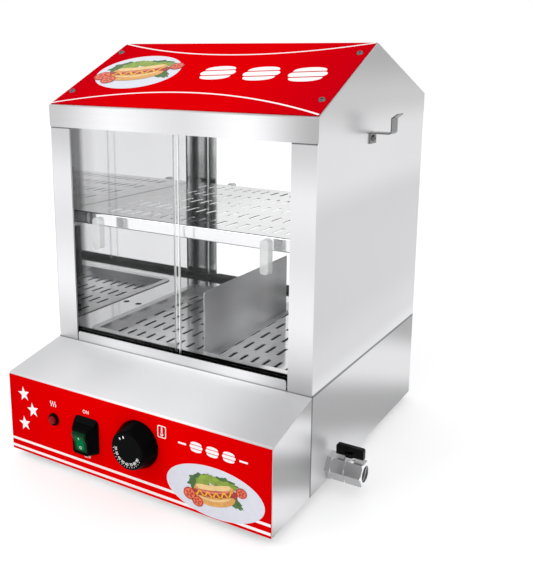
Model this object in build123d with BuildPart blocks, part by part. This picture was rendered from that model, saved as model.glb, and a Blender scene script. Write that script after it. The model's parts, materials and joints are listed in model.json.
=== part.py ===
"""Hot dog steamer: a glazed steam cabinet with a shelf, on a heated water base.

Millimetres, +Z up. The origin lies on the surface that the feet stand on, in the middle of the
whole part, drain valve included. Three helper planes carry the cabinet's own measures: distances
across from its middle, setbacks from its front face and heights above the base's bottom edge.
"""
import os
from math import atan, cos, hypot, radians, sin, tan

from build123d import *

os.makedirs("parts", exist_ok=True)

# Body
body_width = 360.0
cabinet_depth = 320.0
housing_depth = 85.0
foot_height = 10.0
housing_height = 98.0
seam_height = 117.0
sheet = 1.0
fold_radius = 2.0
seam_gap = 0.3
seat_gap = 0.3
hole_clearance = 0.2
running_clearance = 0.05

# Cabinet
front_eaves = 410.0
ridge_height = 485.0
ridge_setback = 147.0
back_eaves = 425.0
post_width = 30.0
post_hem = 1.0
band_height = 26.5
band_corner = 3.0
sill_height = 11.5
sill_gap = 1.5
sill_corner = 3.0

# Control panel, sign and their screws
panel_sheet = 0.6
panel_margin = 0.3
sign_sheet = 0.8
sign_margin = 1.5
sign_screw_across = 169.0
sign_screw_low = 32.0
sign_screw_high = 137.0
screw_head = 4.0
screw_rise = 1.8
screw_taper = 30.0
screw_shank = 1.5
screw_length = 6.0
screw_cross = 4.4
screw_cross_width = 0.9
screw_cross_depth = 0.9

# Doors, tracks and guides
glass = 4.0
channel_width = 4.8
track_rib = 1.6
track_setback = 2.0
track_base = 1.5
track_height = 6.0
guide_height = 12.0
guide_top = 408.0
door_play = 0.3
door_headroom = 6.5
door_overlap = 6.0
door_behind_post = 9.0
door_bevel = 0.6
handle_width = 10.7
handle_height = 38.0
handle_depth = 9.6
handle_corner = 4.0
handle_round = 1.0
handle_bottom = 241.0
near_handle_across = 108.6
far_handle_across = 118.7

# Deck, pan and divider
deck_top = 122.0
deck_hole = 4.5
deck_hole_across = 168.0
deck_hole_setback = 142.0
pan_half_width = 157.0
pan_front = 27.0
pan_rear_gap = 53.0
pan_rim = 8.5
pan_depth = 10.0
pan_fit = 1.0
pan_slot_width = 4.5
pan_slot_length = 25.0
pan_slot_pitch = 15.7
pan_slot_end = 16.0
pan_slot_columns = 18
pan_slot_rows = 5
divider_height = 82.5
divider_front_gap = 3.0
divider_rear_gap = 11.0
divider_foot = 9.0
divider_corner = 4.0

# Shelf and its rails
shelf_top = 278.5
shelf_front = 21.0
shelf_rear_gap = 22.0
shelf_side_gap = 1.0
shelf_lip = 15.5
shelf_lip_return = 6.0
shelf_slot_width = 4.5
shelf_slot_length = 27.0
shelf_slot_pitch = 15.45
shelf_slot_end = 18.0
shelf_slot_columns = 19
shelf_slot_rows = 5
rail_width = 12.0
rail_sheet = 1.5
rail_inset = 9.0

# Water tank
tank_floor = 3.0
tank_flange = 7.0
well_corner = 4.0
weld_gap = 0.02

# Drain: nipple, lock nut and ball valve, along one axis
drain_setback = 50.0
drain_height = 16.0
nipple_radius = 10.5
nipple_bore = 7.5
nipple_flange_radius = 11.5
nipple_flange = 2.5
nipple_engagement = 9.0
locknut_flats = 27.0
locknut_width = 6.0
valve_reach = 43.0
valve_flats = 26.0
valve_bevel = 1.4
valve_joint = 23.0
valve_groove = 1.2
valve_groove_depth = 0.9
outlet_radius = 9.3
outlet_depth = 9.5
port_radius = 6.5
ball_radius = 8.2
ball_bore = 5.0
ball_from_end = 18.0
ball_play = 0.1
stem_radius = 2.5
tang_width = 3.0
tang_depth = 1.8
bonnet_radius = 7.0
bonnet_height = 14.2
packing_flats = 12.0
packing_height = 3.0
lever_length = 33.0
lever_width = 7.0
lever_height = 11.5
lever_hub_radius = 6.5
lever_hub_height = 4.5
lever_corner = 2.5
lever_round = 1.0
lever_socket = 7.5

# Heating element
element_radius = 4.0
element_bend = 35.0
element_height = 24.0
element_near = 82.0
element_rear_gap = 5.5
element_end = -14.0
terminal_radius = 1.8
terminal_length = 9.0
bushing_radius = 6.0
bushing_length = 8.0
bushing_flange_radius = 10.0
bushing_flange = 3.0
element_nut_flats = 17.0
element_nut_width = 5.0

# Thermostat and knob
knob_across = 15.0
knob_height = 58.0
knob_radius = 27.0
knob_face_radius = 21.5
knob_reach = 19.0
knob_gap = 0.5
knob_rim = 2.5
knob_wall = 2.5
knob_round = 2.0
knob_hub_radius = 6.0
spindle_radius = 3.0
spindle_hole = 4.5
spindle_socket = 9.0
thermostat_size = 34.0
thermostat_depth = 24.0
thermostat_round = 2.0
bracket_width = 48.0
bracket_sheet = 1.5
capillary_radius = 1.5
capillary_bend = 12.0
capillary_height = 42.0
capillary_start = 50.0
capillary_straight = 15.0
bulb_radius = 3.5
bulb_round = 1.7
bulb_length = 70.0
bulb_setback = 45.0

# Rocker switch
switch_across = -58.8
switch_height = 48.8
switch_width = 36.0
switch_tall = 42.5
switch_corner = 6.5
hood_front_width = 21.5
hood_front_tall = 39.6
hood_front_corner = 5.0
hood_shoulder = 5.0
hood_shoulder_drop = 6.0
hood_brow = 12.5
hood_brow_drop = 10.0
hood_chin = 11.0
hood_chin_rise = 2.0
hood_ridge = 0.6
ridge_shares = (0.2, 0.6)
switch_body_width = 26.0
switch_body_tall = 32.0
switch_body_depth = 26.0
rocker_width = 18.0
rocker_radius = 12.4
rocker_clearance = 0.4
rocker_tilt = 11.0
rocker_pivot_depth = 3.5
rocker_edge = 5.2
rocker_valley = 3.6
rocker_back = 3.0
rocker_pocket = 5.8
rocker_pin_radius = 1.6
rocker_pin_length = 1.6

# Indicator lamp and terminal block
lamp_across = -109.0
lamp_height = 55.0
lamp_radius = 7.5
lamp_flange = 2.5
lamp_round = 1.2
lamp_barrel = 5.6
lamp_barrel_length = 20.0
lens_radius = 4.8
lens_rise = 2.6
lens_round = 2.3
lens_seat = 1.5
block_across = 70.0
block_width = 48.0
block_height = 20.0
block_depth = 18.0
block_setback = -12.0
block_screw = 3.0
block_screw_depth = 4.0
block_ways = 4
block_corner = 1.0
wire_radius = 1.2
wire_bend_share = 0.45

# Cord gland
gland_across = -130.0
gland_height = 60.0
gland_radius = 9.3
gland_bore = 4.0
gland_flats = 22.0
gland_hex = 6.0
gland_reach = 22.0
gland_cap_radius = 10.0
gland_cap_round = 3.0
gland_inside = 10.0
gland_nut_width = 5.0

# Feet
foot_radius = 12.0
foot_bevel = 1.0
foot_inset = 30.0
foot_recess_radius = 5.5
foot_recess = 5.0
foot_screw = 2.0
foot_screw_head = 4.0
foot_screw_head_height = 2.4
foot_screw_spare = 1.5
foot_nut_flats = 7.0
foot_nut_height = 3.2

# Tong hook
hook_setback = 140.0
hook_width = 18.0
hook_sheet = 1.5
hook_arm_height = 386.0
hook_flange = 13.0
hook_reach = 25.0
hook_rise = 17.0
hook_tip_reach = 7.0
hook_tip_rise = 5.0
hook_bend = 2.5
hook_screw_drop = 7.0

# Worked out from the sizes above
half_width = body_width / 2
inner_half = half_width - sheet
post_inner = half_width - post_width
middle_x = -valve_reach / 2
cabinet_front_y = (housing_depth - cabinet_depth) / 2
housing_slope = (seam_height - housing_height) / housing_depth
front_slope = (ridge_height - front_eaves) / ridge_setback
back_slope = (ridge_height - back_eaves) / (cabinet_depth - ridge_setback)
panel_face = -housing_depth - panel_sheet
deck_bottom = deck_top - sheet
pan_back = cabinet_depth - pan_rear_gap
shelf_back = cabinet_depth - shelf_rear_gap
well_half = pan_half_width - pan_rim
well_front = pan_front + pan_rim
well_back = pan_back - pan_rim
well_middle = (pan_front + pan_back) / 2
tank_half = well_half + pan_fit + sheet
tank_front = well_front - pan_fit - sheet
tank_back = well_back + pan_fit + sheet
pan_floor = deck_top - pan_depth
element_across = 3 * element_bend
element_far = tank_back - sheet - element_rear_gap - element_radius - element_bend


def level(height):
    """A horizontal plane: local x runs across, local y is the setback."""
    return Plane((middle_x, cabinet_front_y, foot_height + height))


def upright(setback):
    """A plane across the body, facing the front: local x runs across, local y is the height."""
    return Plane((middle_x, cabinet_front_y + setback, foot_height), (1, 0, 0), (0, -1, 0))


def side(across):
    """A plane along the body, facing right: local x is the setback, local y is the height."""
    return Plane((middle_x + across, cabinet_front_y, foot_height), (0, 1, 0), (1, 0, 0))


def point(across, setback, height):
    """A point of the cabinet in the part's own frame."""
    return (middle_x + across, cabinet_front_y + setback, foot_height + height)


def span(x_low, x_high, y_low, y_high, mode=Mode.ADD):
    """A rectangle between two limits each way, in the sketch at hand."""
    with Locations(((x_low + x_high) / 2, (y_low + y_high) / 2)):
        Rectangle(x_high - x_low, y_high - y_low, mode=mode)


def hexagon(flats, mode=Mode.ADD):
    """A hexagon by its width across flats, with a flat on top."""
    RegularPolygon(flats / 2, 6, major_radius=False, mode=mode)


def finish(piece, name):
    """Labels one piece and writes it."""
    piece.part.label = name
    export_step(piece.part, f"parts/{name}.step")


def under_housing_top(setback):
    """Height of the housing top's underside."""
    outer = housing_height + housing_slope * (setback + housing_depth)
    return outer - sheet * hypot(1, housing_slope)


def roof(setback, depth=0.0):
    """Height of the roof's outer surface, or of a surface that deep below it."""
    front = front_eaves + front_slope * setback - depth * hypot(1, front_slope)
    back = back_eaves + back_slope * (cabinet_depth - setback) - depth * hypot(1, back_slope)
    return min(front, back)


# ---------------------------------------------------------------- base
with BuildPart() as base_left_side:
    with BuildSketch(side(-half_width)):
        span(0, cabinet_depth, 0, seam_height)
    extrude(amount=sheet)
finish(base_left_side, "base_left_side")

with BuildPart() as base_right_side:
    with BuildSketch(side(half_width)):
        span(0, cabinet_depth, 0, seam_height)
        with Locations((drain_setback, drain_height)):
            Circle(nipple_radius + running_clearance, mode=Mode.SUBTRACT)
    extrude(amount=-sheet)
finish(base_right_side, "base_right_side")

with BuildPart() as base_back:
    with BuildSketch(upright(cabinet_depth)):
        span(-inner_half, inner_half, 0, seam_height)
        with Locations((gland_across, gland_height)):
            Circle(gland_radius + running_clearance, mode=Mode.SUBTRACT)
    extrude(amount=sheet)
finish(base_back, "base_back")

foot_across = half_width - foot_inset
foot_front = foot_inset - housing_depth
foot_back = cabinet_depth - foot_inset
foot_places = [(x, y) for x in (-foot_across, foot_across) for y in (foot_front, foot_back)]

with BuildPart() as base_floor:
    with BuildSketch(level(0)):
        span(-inner_half, inner_half, sheet - housing_depth, cabinet_depth - sheet)
        with Locations(*foot_places):
            Circle(foot_screw + hole_clearance, mode=Mode.SUBTRACT)
    extrude(amount=sheet)
finish(base_floor, "base_floor")

terminals = [(-element_across, element_height), (element_across, element_height)]

with BuildPart() as base_front:
    with BuildSketch(upright(sheet)):
        span(-inner_half, inner_half, sheet, seam_height)
        with Locations(*terminals):
            Circle(bushing_radius, mode=Mode.SUBTRACT)
        with Locations((knob_across, capillary_height)):
            Circle(bulb_radius + hole_clearance, mode=Mode.SUBTRACT)
    extrude(amount=sheet)
finish(base_front, "base_front")


def panel_openings(mode):
    """The openings that the switch, the lamp and the spindle pass through."""
    with Locations((switch_across, switch_height)):
        Rectangle(switch_body_width + hole_clearance, switch_body_tall + hole_clearance, mode=mode)
    with Locations((lamp_across, lamp_height)):
        Circle(lamp_barrel + running_clearance, mode=mode)
    with Locations((knob_across, knob_height)):
        Circle(spindle_hole, mode=mode)


# The housing's front and its sloping top are one folded sheet.
with BuildPart() as control_housing:
    with BuildSketch(side(-half_width)):
        with BuildLine():
            FilletPolyline(
                (-housing_depth, 0),
                (-housing_depth, housing_height),
                (-seam_gap, seam_height - housing_slope * seam_gap),
                radius=fold_radius,
            )
            offset(amount=sheet, side=Side.RIGHT)
        make_face()
    extrude(amount=body_width)
    with BuildSketch(upright(-housing_depth)):
        panel_openings(Mode.ADD)
    extrude(amount=-sheet, mode=Mode.SUBTRACT)
finish(control_housing, "control_housing")


def cheek_outline():
    """The end of the control housing, cut back at the fold, in the sketch at hand."""
    front = sheet - housing_depth
    Polygon(
        (front, 0),
        (front, under_housing_top(front) - fold_radius),
        (front + fold_radius, under_housing_top(front)),
        (-seam_gap, under_housing_top(-seam_gap)),
        (-seam_gap, 0),
        align=None,
    )


with BuildPart() as housing_cheeks:
    for hand in (-1, 1):
        with BuildSketch(side(hand * half_width)):
            cheek_outline()
        extrude(amount=-hand * sheet)
finish(housing_cheeks, "housing_cheeks")

with BuildPart() as control_panel:
    with BuildSketch(upright(-housing_depth)):
        edge = half_width - panel_margin
        span(-edge, edge, panel_margin, housing_height - fold_radius)
        panel_openings(Mode.SUBTRACT)
    extrude(amount=panel_sheet)
finish(control_panel, "control_panel")

with BuildPart() as rubber_feet:
    with BuildSketch(level(-foot_height)):
        with Locations(*foot_places):
            Circle(foot_radius)
    extrude(amount=foot_height)
    chamfer(edges().group_by(Axis.Z)[0], foot_bevel)
    with BuildSketch(level(-foot_height)):
        with Locations(*foot_places):
            Circle(foot_recess_radius)
    extrude(amount=foot_recess, mode=Mode.SUBTRACT)
    with BuildSketch(level(-foot_height)):
        with Locations(*foot_places):
            Circle(foot_screw + running_clearance)
    extrude(amount=foot_height, mode=Mode.SUBTRACT)
finish(rubber_feet, "rubber_feet")

with BuildPart() as foot_screws:
    with BuildSketch(level(foot_recess - foot_height - foot_screw_head_height)):
        with Locations(*foot_places):
            Circle(foot_screw_head)
    extrude(amount=foot_screw_head_height)
    with BuildSketch(level(foot_recess - foot_height)):
        with Locations(*foot_places):
            Circle(foot_screw)
    extrude(amount=foot_height - foot_recess + sheet + foot_nut_height + foot_screw_spare)
    with BuildSketch(level(sheet)):
        with Locations(*foot_places):
            hexagon(foot_nut_flats)
            Circle(foot_screw + running_clearance, mode=Mode.SUBTRACT)
    extrude(amount=foot_nut_height)
finish(foot_screws, "foot_screws")

# ---------------------------------------------------------------- tank, deck and pan
tank_inner = tank_half - sheet

with BuildPart() as tank_bottom:
    with BuildSketch(level(tank_floor)):
        span(-tank_inner, tank_inner, tank_front + sheet, tank_back - sheet)
    extrude(amount=sheet)
finish(tank_bottom, "tank_bottom")

# Four walls, each with its flange, that are welded at the corners and around the bottom.
with BuildPart() as tank_walls:
    for hand in (-1, 1):
        with BuildSketch(upright(tank_front)):
            wall = sorted((hand * tank_inner, hand * tank_half))
            flange = sorted((hand * tank_half, hand * (tank_half + tank_flange)))
            span(*wall, tank_floor, deck_bottom)
            span(*flange, deck_bottom - sheet, deck_bottom)
        extrude(amount=tank_front - tank_back)
    for hand, face in ((-1, tank_front), (1, tank_back)):
        with BuildSketch(side(weld_gap - tank_inner)):
            wall = sorted((face, face - hand * sheet))
            flange = sorted((face, face + hand * tank_flange))
            span(*wall, tank_floor, deck_bottom)
            span(*flange, deck_bottom - sheet, deck_bottom)
        extrude(amount=2 * (tank_inner - weld_gap))
    with BuildSketch(side(tank_half)):
        with Locations((drain_setback, drain_height)):
            Circle(nipple_radius + running_clearance)
    extrude(amount=-sheet, mode=Mode.SUBTRACT)
    with BuildSketch(upright(tank_front)):
        with Locations(*terminals):
            Circle(bushing_radius + running_clearance)
        with Locations((knob_across, capillary_height)):
            Circle(capillary_radius + running_clearance)
    extrude(amount=-sheet, mode=Mode.SUBTRACT)
finish(tank_walls, "tank_walls")

with BuildPart() as deck:
    with BuildSketch(level(deck_bottom)):
        span(-inner_half, inner_half, sheet, cabinet_depth - sheet)
        with Locations((0, well_middle)):
            RectangleRounded(
                2 * tank_inner,
                tank_back - tank_front - 2 * sheet,
                well_corner,
                mode=Mode.SUBTRACT,
            )
        with Locations((-deck_hole_across, deck_hole_setback), (deck_hole_across, deck_hole_setback)):
            Circle(deck_hole, mode=Mode.SUBTRACT)
    extrude(amount=sheet)
finish(deck, "deck")

pan_top = deck_top + seat_gap + sheet
pan_corner = well_corner - pan_fit
pan_slot_run = well_back - well_front - 2 * pan_slot_end - pan_slot_length
pan_slot_row_pitch = pan_slot_run / (pan_slot_rows - 1)

with BuildPart() as tray_pan:
    with BuildSketch(level(pan_floor)):
        with Locations((0, well_middle)):
            RectangleRounded(2 * well_half, well_back - well_front, pan_corner)
    extrude(amount=pan_top - pan_floor)
    offset(amount=-sheet, openings=faces().sort_by(Axis.Z)[-1])
    with BuildSketch(level(pan_top - sheet)):
        with Locations((0, well_middle)):
            RectangleRounded(2 * pan_half_width, pan_back - pan_front, pan_corner + pan_rim)
            RectangleRounded(2 * well_half, well_back - well_front, pan_corner, mode=Mode.SUBTRACT)
    extrude(amount=sheet)
    with BuildSketch(level(pan_floor)):
        with Locations((0, well_middle)):
            with GridLocations(
                pan_slot_pitch, pan_slot_row_pitch, pan_slot_columns, pan_slot_rows
            ):
                SlotOverall(pan_slot_length, pan_slot_width, rotation=90)
    extrude(amount=sheet, mode=Mode.SUBTRACT)
finish(tray_pan, "tray_pan")

# The divider stands between two columns of slots, on a folded foot.
divider_bottom = pan_floor + sheet + seat_gap
divider_front = well_front + sheet + divider_front_gap
divider_back = well_back - sheet - divider_rear_gap

with BuildPart() as divider:
    with BuildSketch(side(pan_slot_pitch - sheet / 2)):
        span(divider_front, divider_back, divider_bottom, divider_bottom + divider_height)
        top = vertices().group_by(Axis.Y)[-1]
        fillet(top.sort_by(Axis.X)[0], divider_corner)
    extrude(amount=sheet)
    with BuildSketch(level(divider_bottom)):
        foot_start = pan_slot_pitch - sheet / 2
        span(foot_start, pan_slot_pitch + divider_foot, divider_front, divider_back)
    extrude(amount=sheet)
finish(divider, "divider")

# ---------------------------------------------------------------- heating element
bend_mid = element_bend * 2
with BuildPart() as heating_element:
    with BuildLine(level(element_height)) as element_path:
        Line((-element_across, element_end), (-element_across, element_far))
        ThreePointArc(
            (-element_across, element_far),
            (-bend_mid, element_far + element_bend),
            (-element_bend, element_far),
        )
        Line((-element_bend, element_far), (-element_bend, element_near))
        ThreePointArc(
            (-element_bend, element_near),
            (0, element_near - element_bend),
            (element_bend, element_near),
        )
        Line((element_bend, element_near), (element_bend, element_far))
        ThreePointArc(
            (element_bend, element_far),
            (bend_mid, element_far + element_bend),
            (element_across, element_far),
        )
        Line((element_across, element_far), (element_across, element_end))
    with BuildSketch(upright(element_end)):
        with Locations((-element_across, element_height)):
            Circle(element_radius)
    sweep(path=element_path.line)
    with BuildSketch(upright(element_end)):
        with Locations(*terminals):
            Circle(terminal_radius)
    extrude(amount=terminal_length)
    with BuildSketch(upright(tank_front + sheet)):
        with Locations(*terminals):
            Circle(bushing_radius)
    extrude(amount=bushing_length)
    with BuildSketch(upright(tank_front + sheet)):
        with Locations(*terminals):
            Circle(bushing_flange_radius)
    extrude(amount=-bushing_flange)
finish(heating_element, "heating_element")

with BuildPart() as element_nuts:
    with BuildSketch(upright(tank_front)):
        with Locations(*terminals):
            hexagon(element_nut_flats)
            Circle(bushing_radius + running_clearance, mode=Mode.SUBTRACT)
    extrude(amount=element_nut_width)
finish(element_nuts, "element_nuts")

# ---------------------------------------------------------------- drain valve
drain_place = (drain_setback, drain_height)
valve_start = half_width + locknut_width
valve_end = half_width + valve_reach
ball_across = valve_end - ball_from_end
nipple_end = valve_start + nipple_engagement

with BuildPart() as drain_nipple:
    with BuildSketch(side(tank_inner)):
        with Locations(drain_place):
            Circle(nipple_radius)
    extrude(amount=nipple_end - tank_inner)
    with BuildSketch(side(tank_inner)):
        with Locations(drain_place):
            Circle(nipple_flange_radius)
    extrude(amount=-nipple_flange)
    with BuildSketch(side(nipple_end)):
        with Locations(drain_place):
            Circle(nipple_bore)
    extrude(amount=tank_inner - nipple_flange - nipple_end, mode=Mode.SUBTRACT)
finish(drain_nipple, "drain_nipple")

with BuildPart() as drain_locknut:
    with BuildSketch(side(half_width)):
        with Locations(drain_place):
            hexagon(locknut_flats)
            Circle(nipple_radius + running_clearance, mode=Mode.SUBTRACT)
    extrude(amount=locknut_width)
finish(drain_locknut, "drain_locknut")

bonnet_top = drain_height + bonnet_height
valve_corner = valve_flats / 2 / cos(radians(30))

with BuildPart() as valve_body:
    with BuildSketch(side(valve_start)):
        with Locations(drain_place):
            Circle(valve_corner)
    extrude(amount=valve_end - valve_start)
    chamfer(edges().filter_by(GeomType.CIRCLE), valve_bevel)
    with BuildSketch(side(half_width + valve_joint - valve_groove)):
        with Locations(drain_place):
            Circle(valve_corner)
            Circle(valve_flats / 2 - valve_groove_depth, mode=Mode.SUBTRACT)
    extrude(amount=valve_groove, mode=Mode.SUBTRACT)
    with BuildSketch(side(valve_start)):
        with Locations(drain_place):
            hexagon(valve_flats)
    extrude(amount=valve_end - valve_start, mode=Mode.INTERSECT)
    with BuildSketch(level(drain_height)):
        with Locations((ball_across, drain_setback)):
            Circle(bonnet_radius)
    extrude(amount=bonnet_height)
    ball_room = ball_radius + ball_play
    bores = (
        (valve_start, nipple_end, nipple_radius + running_clearance),
        (nipple_end, valve_end, port_radius),
        (ball_across - ball_room, ball_across + ball_room, ball_room),
        (valve_end - outlet_depth, valve_end, outlet_radius),
    )
    for bore_start, bore_end, bore_radius in bores:
        with BuildSketch(side(bore_start)):
            with Locations(drain_place):
                Circle(bore_radius)
        extrude(amount=bore_end - bore_start, mode=Mode.SUBTRACT)
    with BuildSketch(level(drain_height)):
        with Locations((ball_across, drain_setback)):
            Circle(stem_radius + running_clearance)
    extrude(amount=bonnet_height, mode=Mode.SUBTRACT)
finish(valve_body, "valve_body")

with BuildPart(Plane(point(ball_across, drain_setback, drain_height))) as valve_ball:
    Sphere(ball_radius)
    with BuildSketch(side(ball_across)):
        with Locations(drain_place):
            Circle(ball_bore)
    extrude(amount=ball_radius, both=True, mode=Mode.SUBTRACT)
    with BuildSketch(level(drain_height + ball_radius)):
        with Locations((ball_across, drain_setback)):
            Rectangle(2 * ball_radius, tang_width)
    extrude(amount=-tang_depth, mode=Mode.SUBTRACT)
finish(valve_ball, "valve_ball")

lever_bottom = bonnet_top + packing_height + seat_gap

with BuildPart() as valve_stem:
    with BuildSketch(level(drain_height + ball_radius)):
        with Locations((ball_across, drain_setback)):
            Circle(stem_radius)
    extrude(amount=lever_bottom + lever_socket - drain_height - ball_radius)
    with BuildSketch(level(drain_height + ball_radius)):
        with Locations((ball_across, drain_setback)):
            Circle(stem_radius)
            Rectangle(2 * stem_radius, tang_width, mode=Mode.INTERSECT)
    extrude(amount=-tang_depth)
finish(valve_stem, "valve_stem")

with BuildPart() as packing_nut:
    with BuildSketch(level(bonnet_top)):
        with Locations((ball_across, drain_setback)):
            hexagon(packing_flats)
            Circle(stem_radius + running_clearance, mode=Mode.SUBTRACT)
    extrude(amount=packing_height)
finish(packing_nut, "packing_nut")

# The lever lies along the pipe while the valve is open.
with BuildPart() as valve_lever:
    with BuildSketch(upright(drain_setback)):
        span(
            ball_across - lever_length / 2,
            ball_across + lever_length / 2,
            lever_bottom,
            lever_bottom + lever_height,
        )
        fillet(vertices().group_by(Axis.Y)[-1], lever_corner)
    extrude(amount=lever_width / 2, both=True)
    top_edges = edges().filter_by(GeomType.LINE).filter_by(Axis.X).group_by(Axis.Z)[-1]
    fillet(top_edges, lever_round)
    with BuildSketch(level(lever_bottom)):
        with Locations((ball_across, drain_setback)):
            Circle(lever_hub_radius)
    extrude(amount=lever_hub_height)
    with BuildSketch(level(lever_bottom)):
        with Locations((ball_across, drain_setback)):
            Circle(stem_radius)
    extrude(amount=lever_socket, mode=Mode.SUBTRACT)
finish(valve_lever, "valve_lever")

# ---------------------------------------------------------------- knob and thermostat
knob_back = panel_face - knob_gap
knob_front = panel_face - knob_reach
knob_axis = Axis(point(knob_across, 0, knob_height), (0, 1, 0))
knob_inside = knob_front + knob_wall

with BuildPart() as control_knob:
    with BuildSketch(side(knob_across)):
        with Locations((0, knob_height)):
            Polygon(
                (knob_back, knob_radius),
                (knob_back - knob_rim, knob_radius),
                (knob_front, knob_face_radius),
                (knob_front, 0),
                (knob_inside, 0),
                (knob_inside, spindle_radius),
                (knob_back, spindle_radius),
                (knob_back, knob_hub_radius),
                (knob_inside, knob_hub_radius),
                (knob_inside, knob_face_radius - knob_wall),
                (knob_back - knob_rim, knob_radius - knob_wall),
                (knob_back, knob_radius - knob_wall),
                align=None,
            )
    revolve(axis=knob_axis)
    fillet(edges().filter_by(GeomType.CIRCLE).sort_by(Axis.Y)[0], knob_round)
finish(control_knob, "control_knob")

bracket_front = sheet - housing_depth
thermostat_front = bracket_front + bracket_sheet
thermostat_back = thermostat_front + thermostat_depth
knob_place = (knob_across, knob_height)

with BuildPart() as thermostat_spindle:
    with BuildSketch(upright(bracket_front + spindle_socket)):
        with Locations(knob_place):
            Circle(spindle_radius)
    extrude(amount=bracket_front + spindle_socket - knob_inside)
finish(thermostat_spindle, "thermostat_spindle")

with BuildPart() as thermostat_body:
    with BuildSketch(upright(thermostat_back)):
        with Locations(knob_place):
            RectangleRounded(thermostat_size, thermostat_size, thermostat_round)
    extrude(amount=thermostat_depth)
    with BuildSketch(upright(thermostat_front)):
        with Locations(knob_place):
            RectangleRounded(bracket_width, thermostat_size, thermostat_round)
    extrude(amount=bracket_sheet)
    with BuildSketch(upright(bracket_front + spindle_socket)):
        with Locations(knob_place):
            Circle(spindle_radius + running_clearance)
    extrude(amount=spindle_socket, mode=Mode.SUBTRACT)
finish(thermostat_body, "thermostat_body")

# The capillary runs from the thermostat down and back into the tank, where its bulb lies.
with BuildPart() as thermostat_bulb:
    with BuildLine(side(knob_across)) as capillary_path:
        FilletPolyline(
            (thermostat_back, capillary_start),
            (thermostat_back + capillary_straight, capillary_start),
            (-capillary_straight, capillary_height),
            (bulb_setback, capillary_height),
            radius=capillary_bend,
        )
    with BuildSketch(upright(thermostat_back)):
        with Locations((knob_across, capillary_start)):
            Circle(capillary_radius)
    sweep(path=capillary_path.line)
    with BuildSketch(upright(bulb_setback)):
        with Locations((knob_across, capillary_height)):
            Circle(bulb_radius)
    extrude(amount=-bulb_length)
    fillet(edges().filter_by(GeomType.CIRCLE).sort_by(Axis.Y)[-1], bulb_round)
finish(thermostat_bulb, "thermostat_bulb")

# ---------------------------------------------------------------- switch
# The hood's face leans back towards its foot; the rocker turns about a pin below that face.
hood_top = switch_height + switch_tall / 2
hood_foot = switch_height - switch_tall / 2
brow = (panel_face - hood_brow, hood_top - hood_brow_drop)
chin = (panel_face - hood_chin, hood_foot + hood_chin_rise)
face_middle = ((brow[0] + chin[0]) / 2, (brow[1] + chin[1]) / 2)
face_lean = atan((chin[0] - brow[0]) / (brow[1] - chin[1]))
pivot_setback = face_middle[0] + rocker_pivot_depth * cos(face_lean)
pivot_height = face_middle[1] + rocker_pivot_depth * sin(face_lean)
face_plane = Plane(
    point(switch_across, *face_middle), (1, 0, 0), (0, -cos(face_lean), -sin(face_lean))
)

with BuildPart() as switch_housing:
    with BuildSketch(upright(panel_face)):
        with Locations((switch_across, switch_height)):
            RectangleRounded(switch_width, switch_tall, switch_corner)
    with BuildSketch(upright(panel_face - hood_brow)):
        with Locations((switch_across, switch_height)):
            RectangleRounded(hood_front_width, hood_front_tall, hood_front_corner)
    loft(ruled=True)
    with BuildSketch(side(switch_across)):
        Polygon(
            (panel_face, hood_top),
            (panel_face - hood_shoulder, hood_top - hood_shoulder_drop),
            brow,
            chin,
            (panel_face, hood_foot),
            align=None,
        )
    extrude(amount=switch_width / 2, both=True, mode=Mode.INTERSECT)
    with BuildSketch(upright(panel_face)):
        with Locations((switch_across, switch_height)):
            Rectangle(switch_body_width, switch_body_tall)
    extrude(amount=-switch_body_depth)
    with BuildSketch(face_plane):
        Rectangle(rocker_width + 2 * rocker_clearance, 2 * (rocker_radius + rocker_clearance))
    extrude(amount=-rocker_pivot_depth - rocker_pocket, mode=Mode.SUBTRACT)
    with BuildSketch(side(switch_across)):
        with Locations((pivot_setback, pivot_height)):
            Circle(rocker_pin_radius + running_clearance)
    pin_reach = rocker_width / 2 + rocker_clearance + rocker_pin_length
    extrude(amount=pin_reach, both=True, mode=Mode.SUBTRACT)
    with BuildSketch(side(switch_across)):
        for share in ridge_shares:
            groove = (
                panel_face - hood_shoulder + share * (hood_shoulder - hood_brow),
                hood_top - hood_shoulder_drop + share * (hood_shoulder_drop - hood_brow_drop),
            )
            with Locations(groove):
                Circle(hood_ridge)
    extrude(amount=switch_width / 2, both=True, mode=Mode.SUBTRACT)
finish(switch_housing, "switch_housing")

# The rocker stands with its foot pressed in, which is off.
rest_lean = face_lean + radians(rocker_tilt)
rocker_plane = Plane(
    point(switch_across, pivot_setback, pivot_height),
    (0, -cos(rest_lean), -sin(rest_lean)),
    (1, 0, 0),
)

with BuildPart() as switch_rocker:
    with BuildSketch(rocker_plane):
        Circle(rocker_radius)
        Polygon(
            (-rocker_back, -rocker_radius),
            (rocker_edge, -rocker_radius),
            (rocker_valley, 0),
            (rocker_edge, rocker_radius),
            (-rocker_back, rocker_radius),
            align=None,
            mode=Mode.INTERSECT,
        )
    extrude(amount=rocker_width / 2, both=True)
    with BuildSketch(rocker_plane):
        Circle(rocker_pin_radius)
    extrude(amount=rocker_width / 2 + rocker_pin_length, both=True)
finish(switch_rocker, "switch_rocker")

# ---------------------------------------------------------------- lamp and terminal block
lamp_place = (lamp_across, lamp_height)

with BuildPart() as indicator_bezel:
    with BuildSketch(upright(panel_face)):
        with Locations(lamp_place):
            Circle(lamp_radius)
    extrude(amount=lamp_flange)
    fillet(edges().filter_by(GeomType.CIRCLE).sort_by(Axis.Y)[0], lamp_round)
    with BuildSketch(upright(panel_face)):
        with Locations(lamp_place):
            Circle(lamp_barrel)
    extrude(amount=-lamp_barrel_length)
    with BuildSketch(upright(panel_face - lamp_flange)):
        with Locations(lamp_place):
            Circle(lens_radius + running_clearance)
    extrude(amount=-lens_seat, mode=Mode.SUBTRACT)
finish(indicator_bezel, "indicator_bezel")

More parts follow.
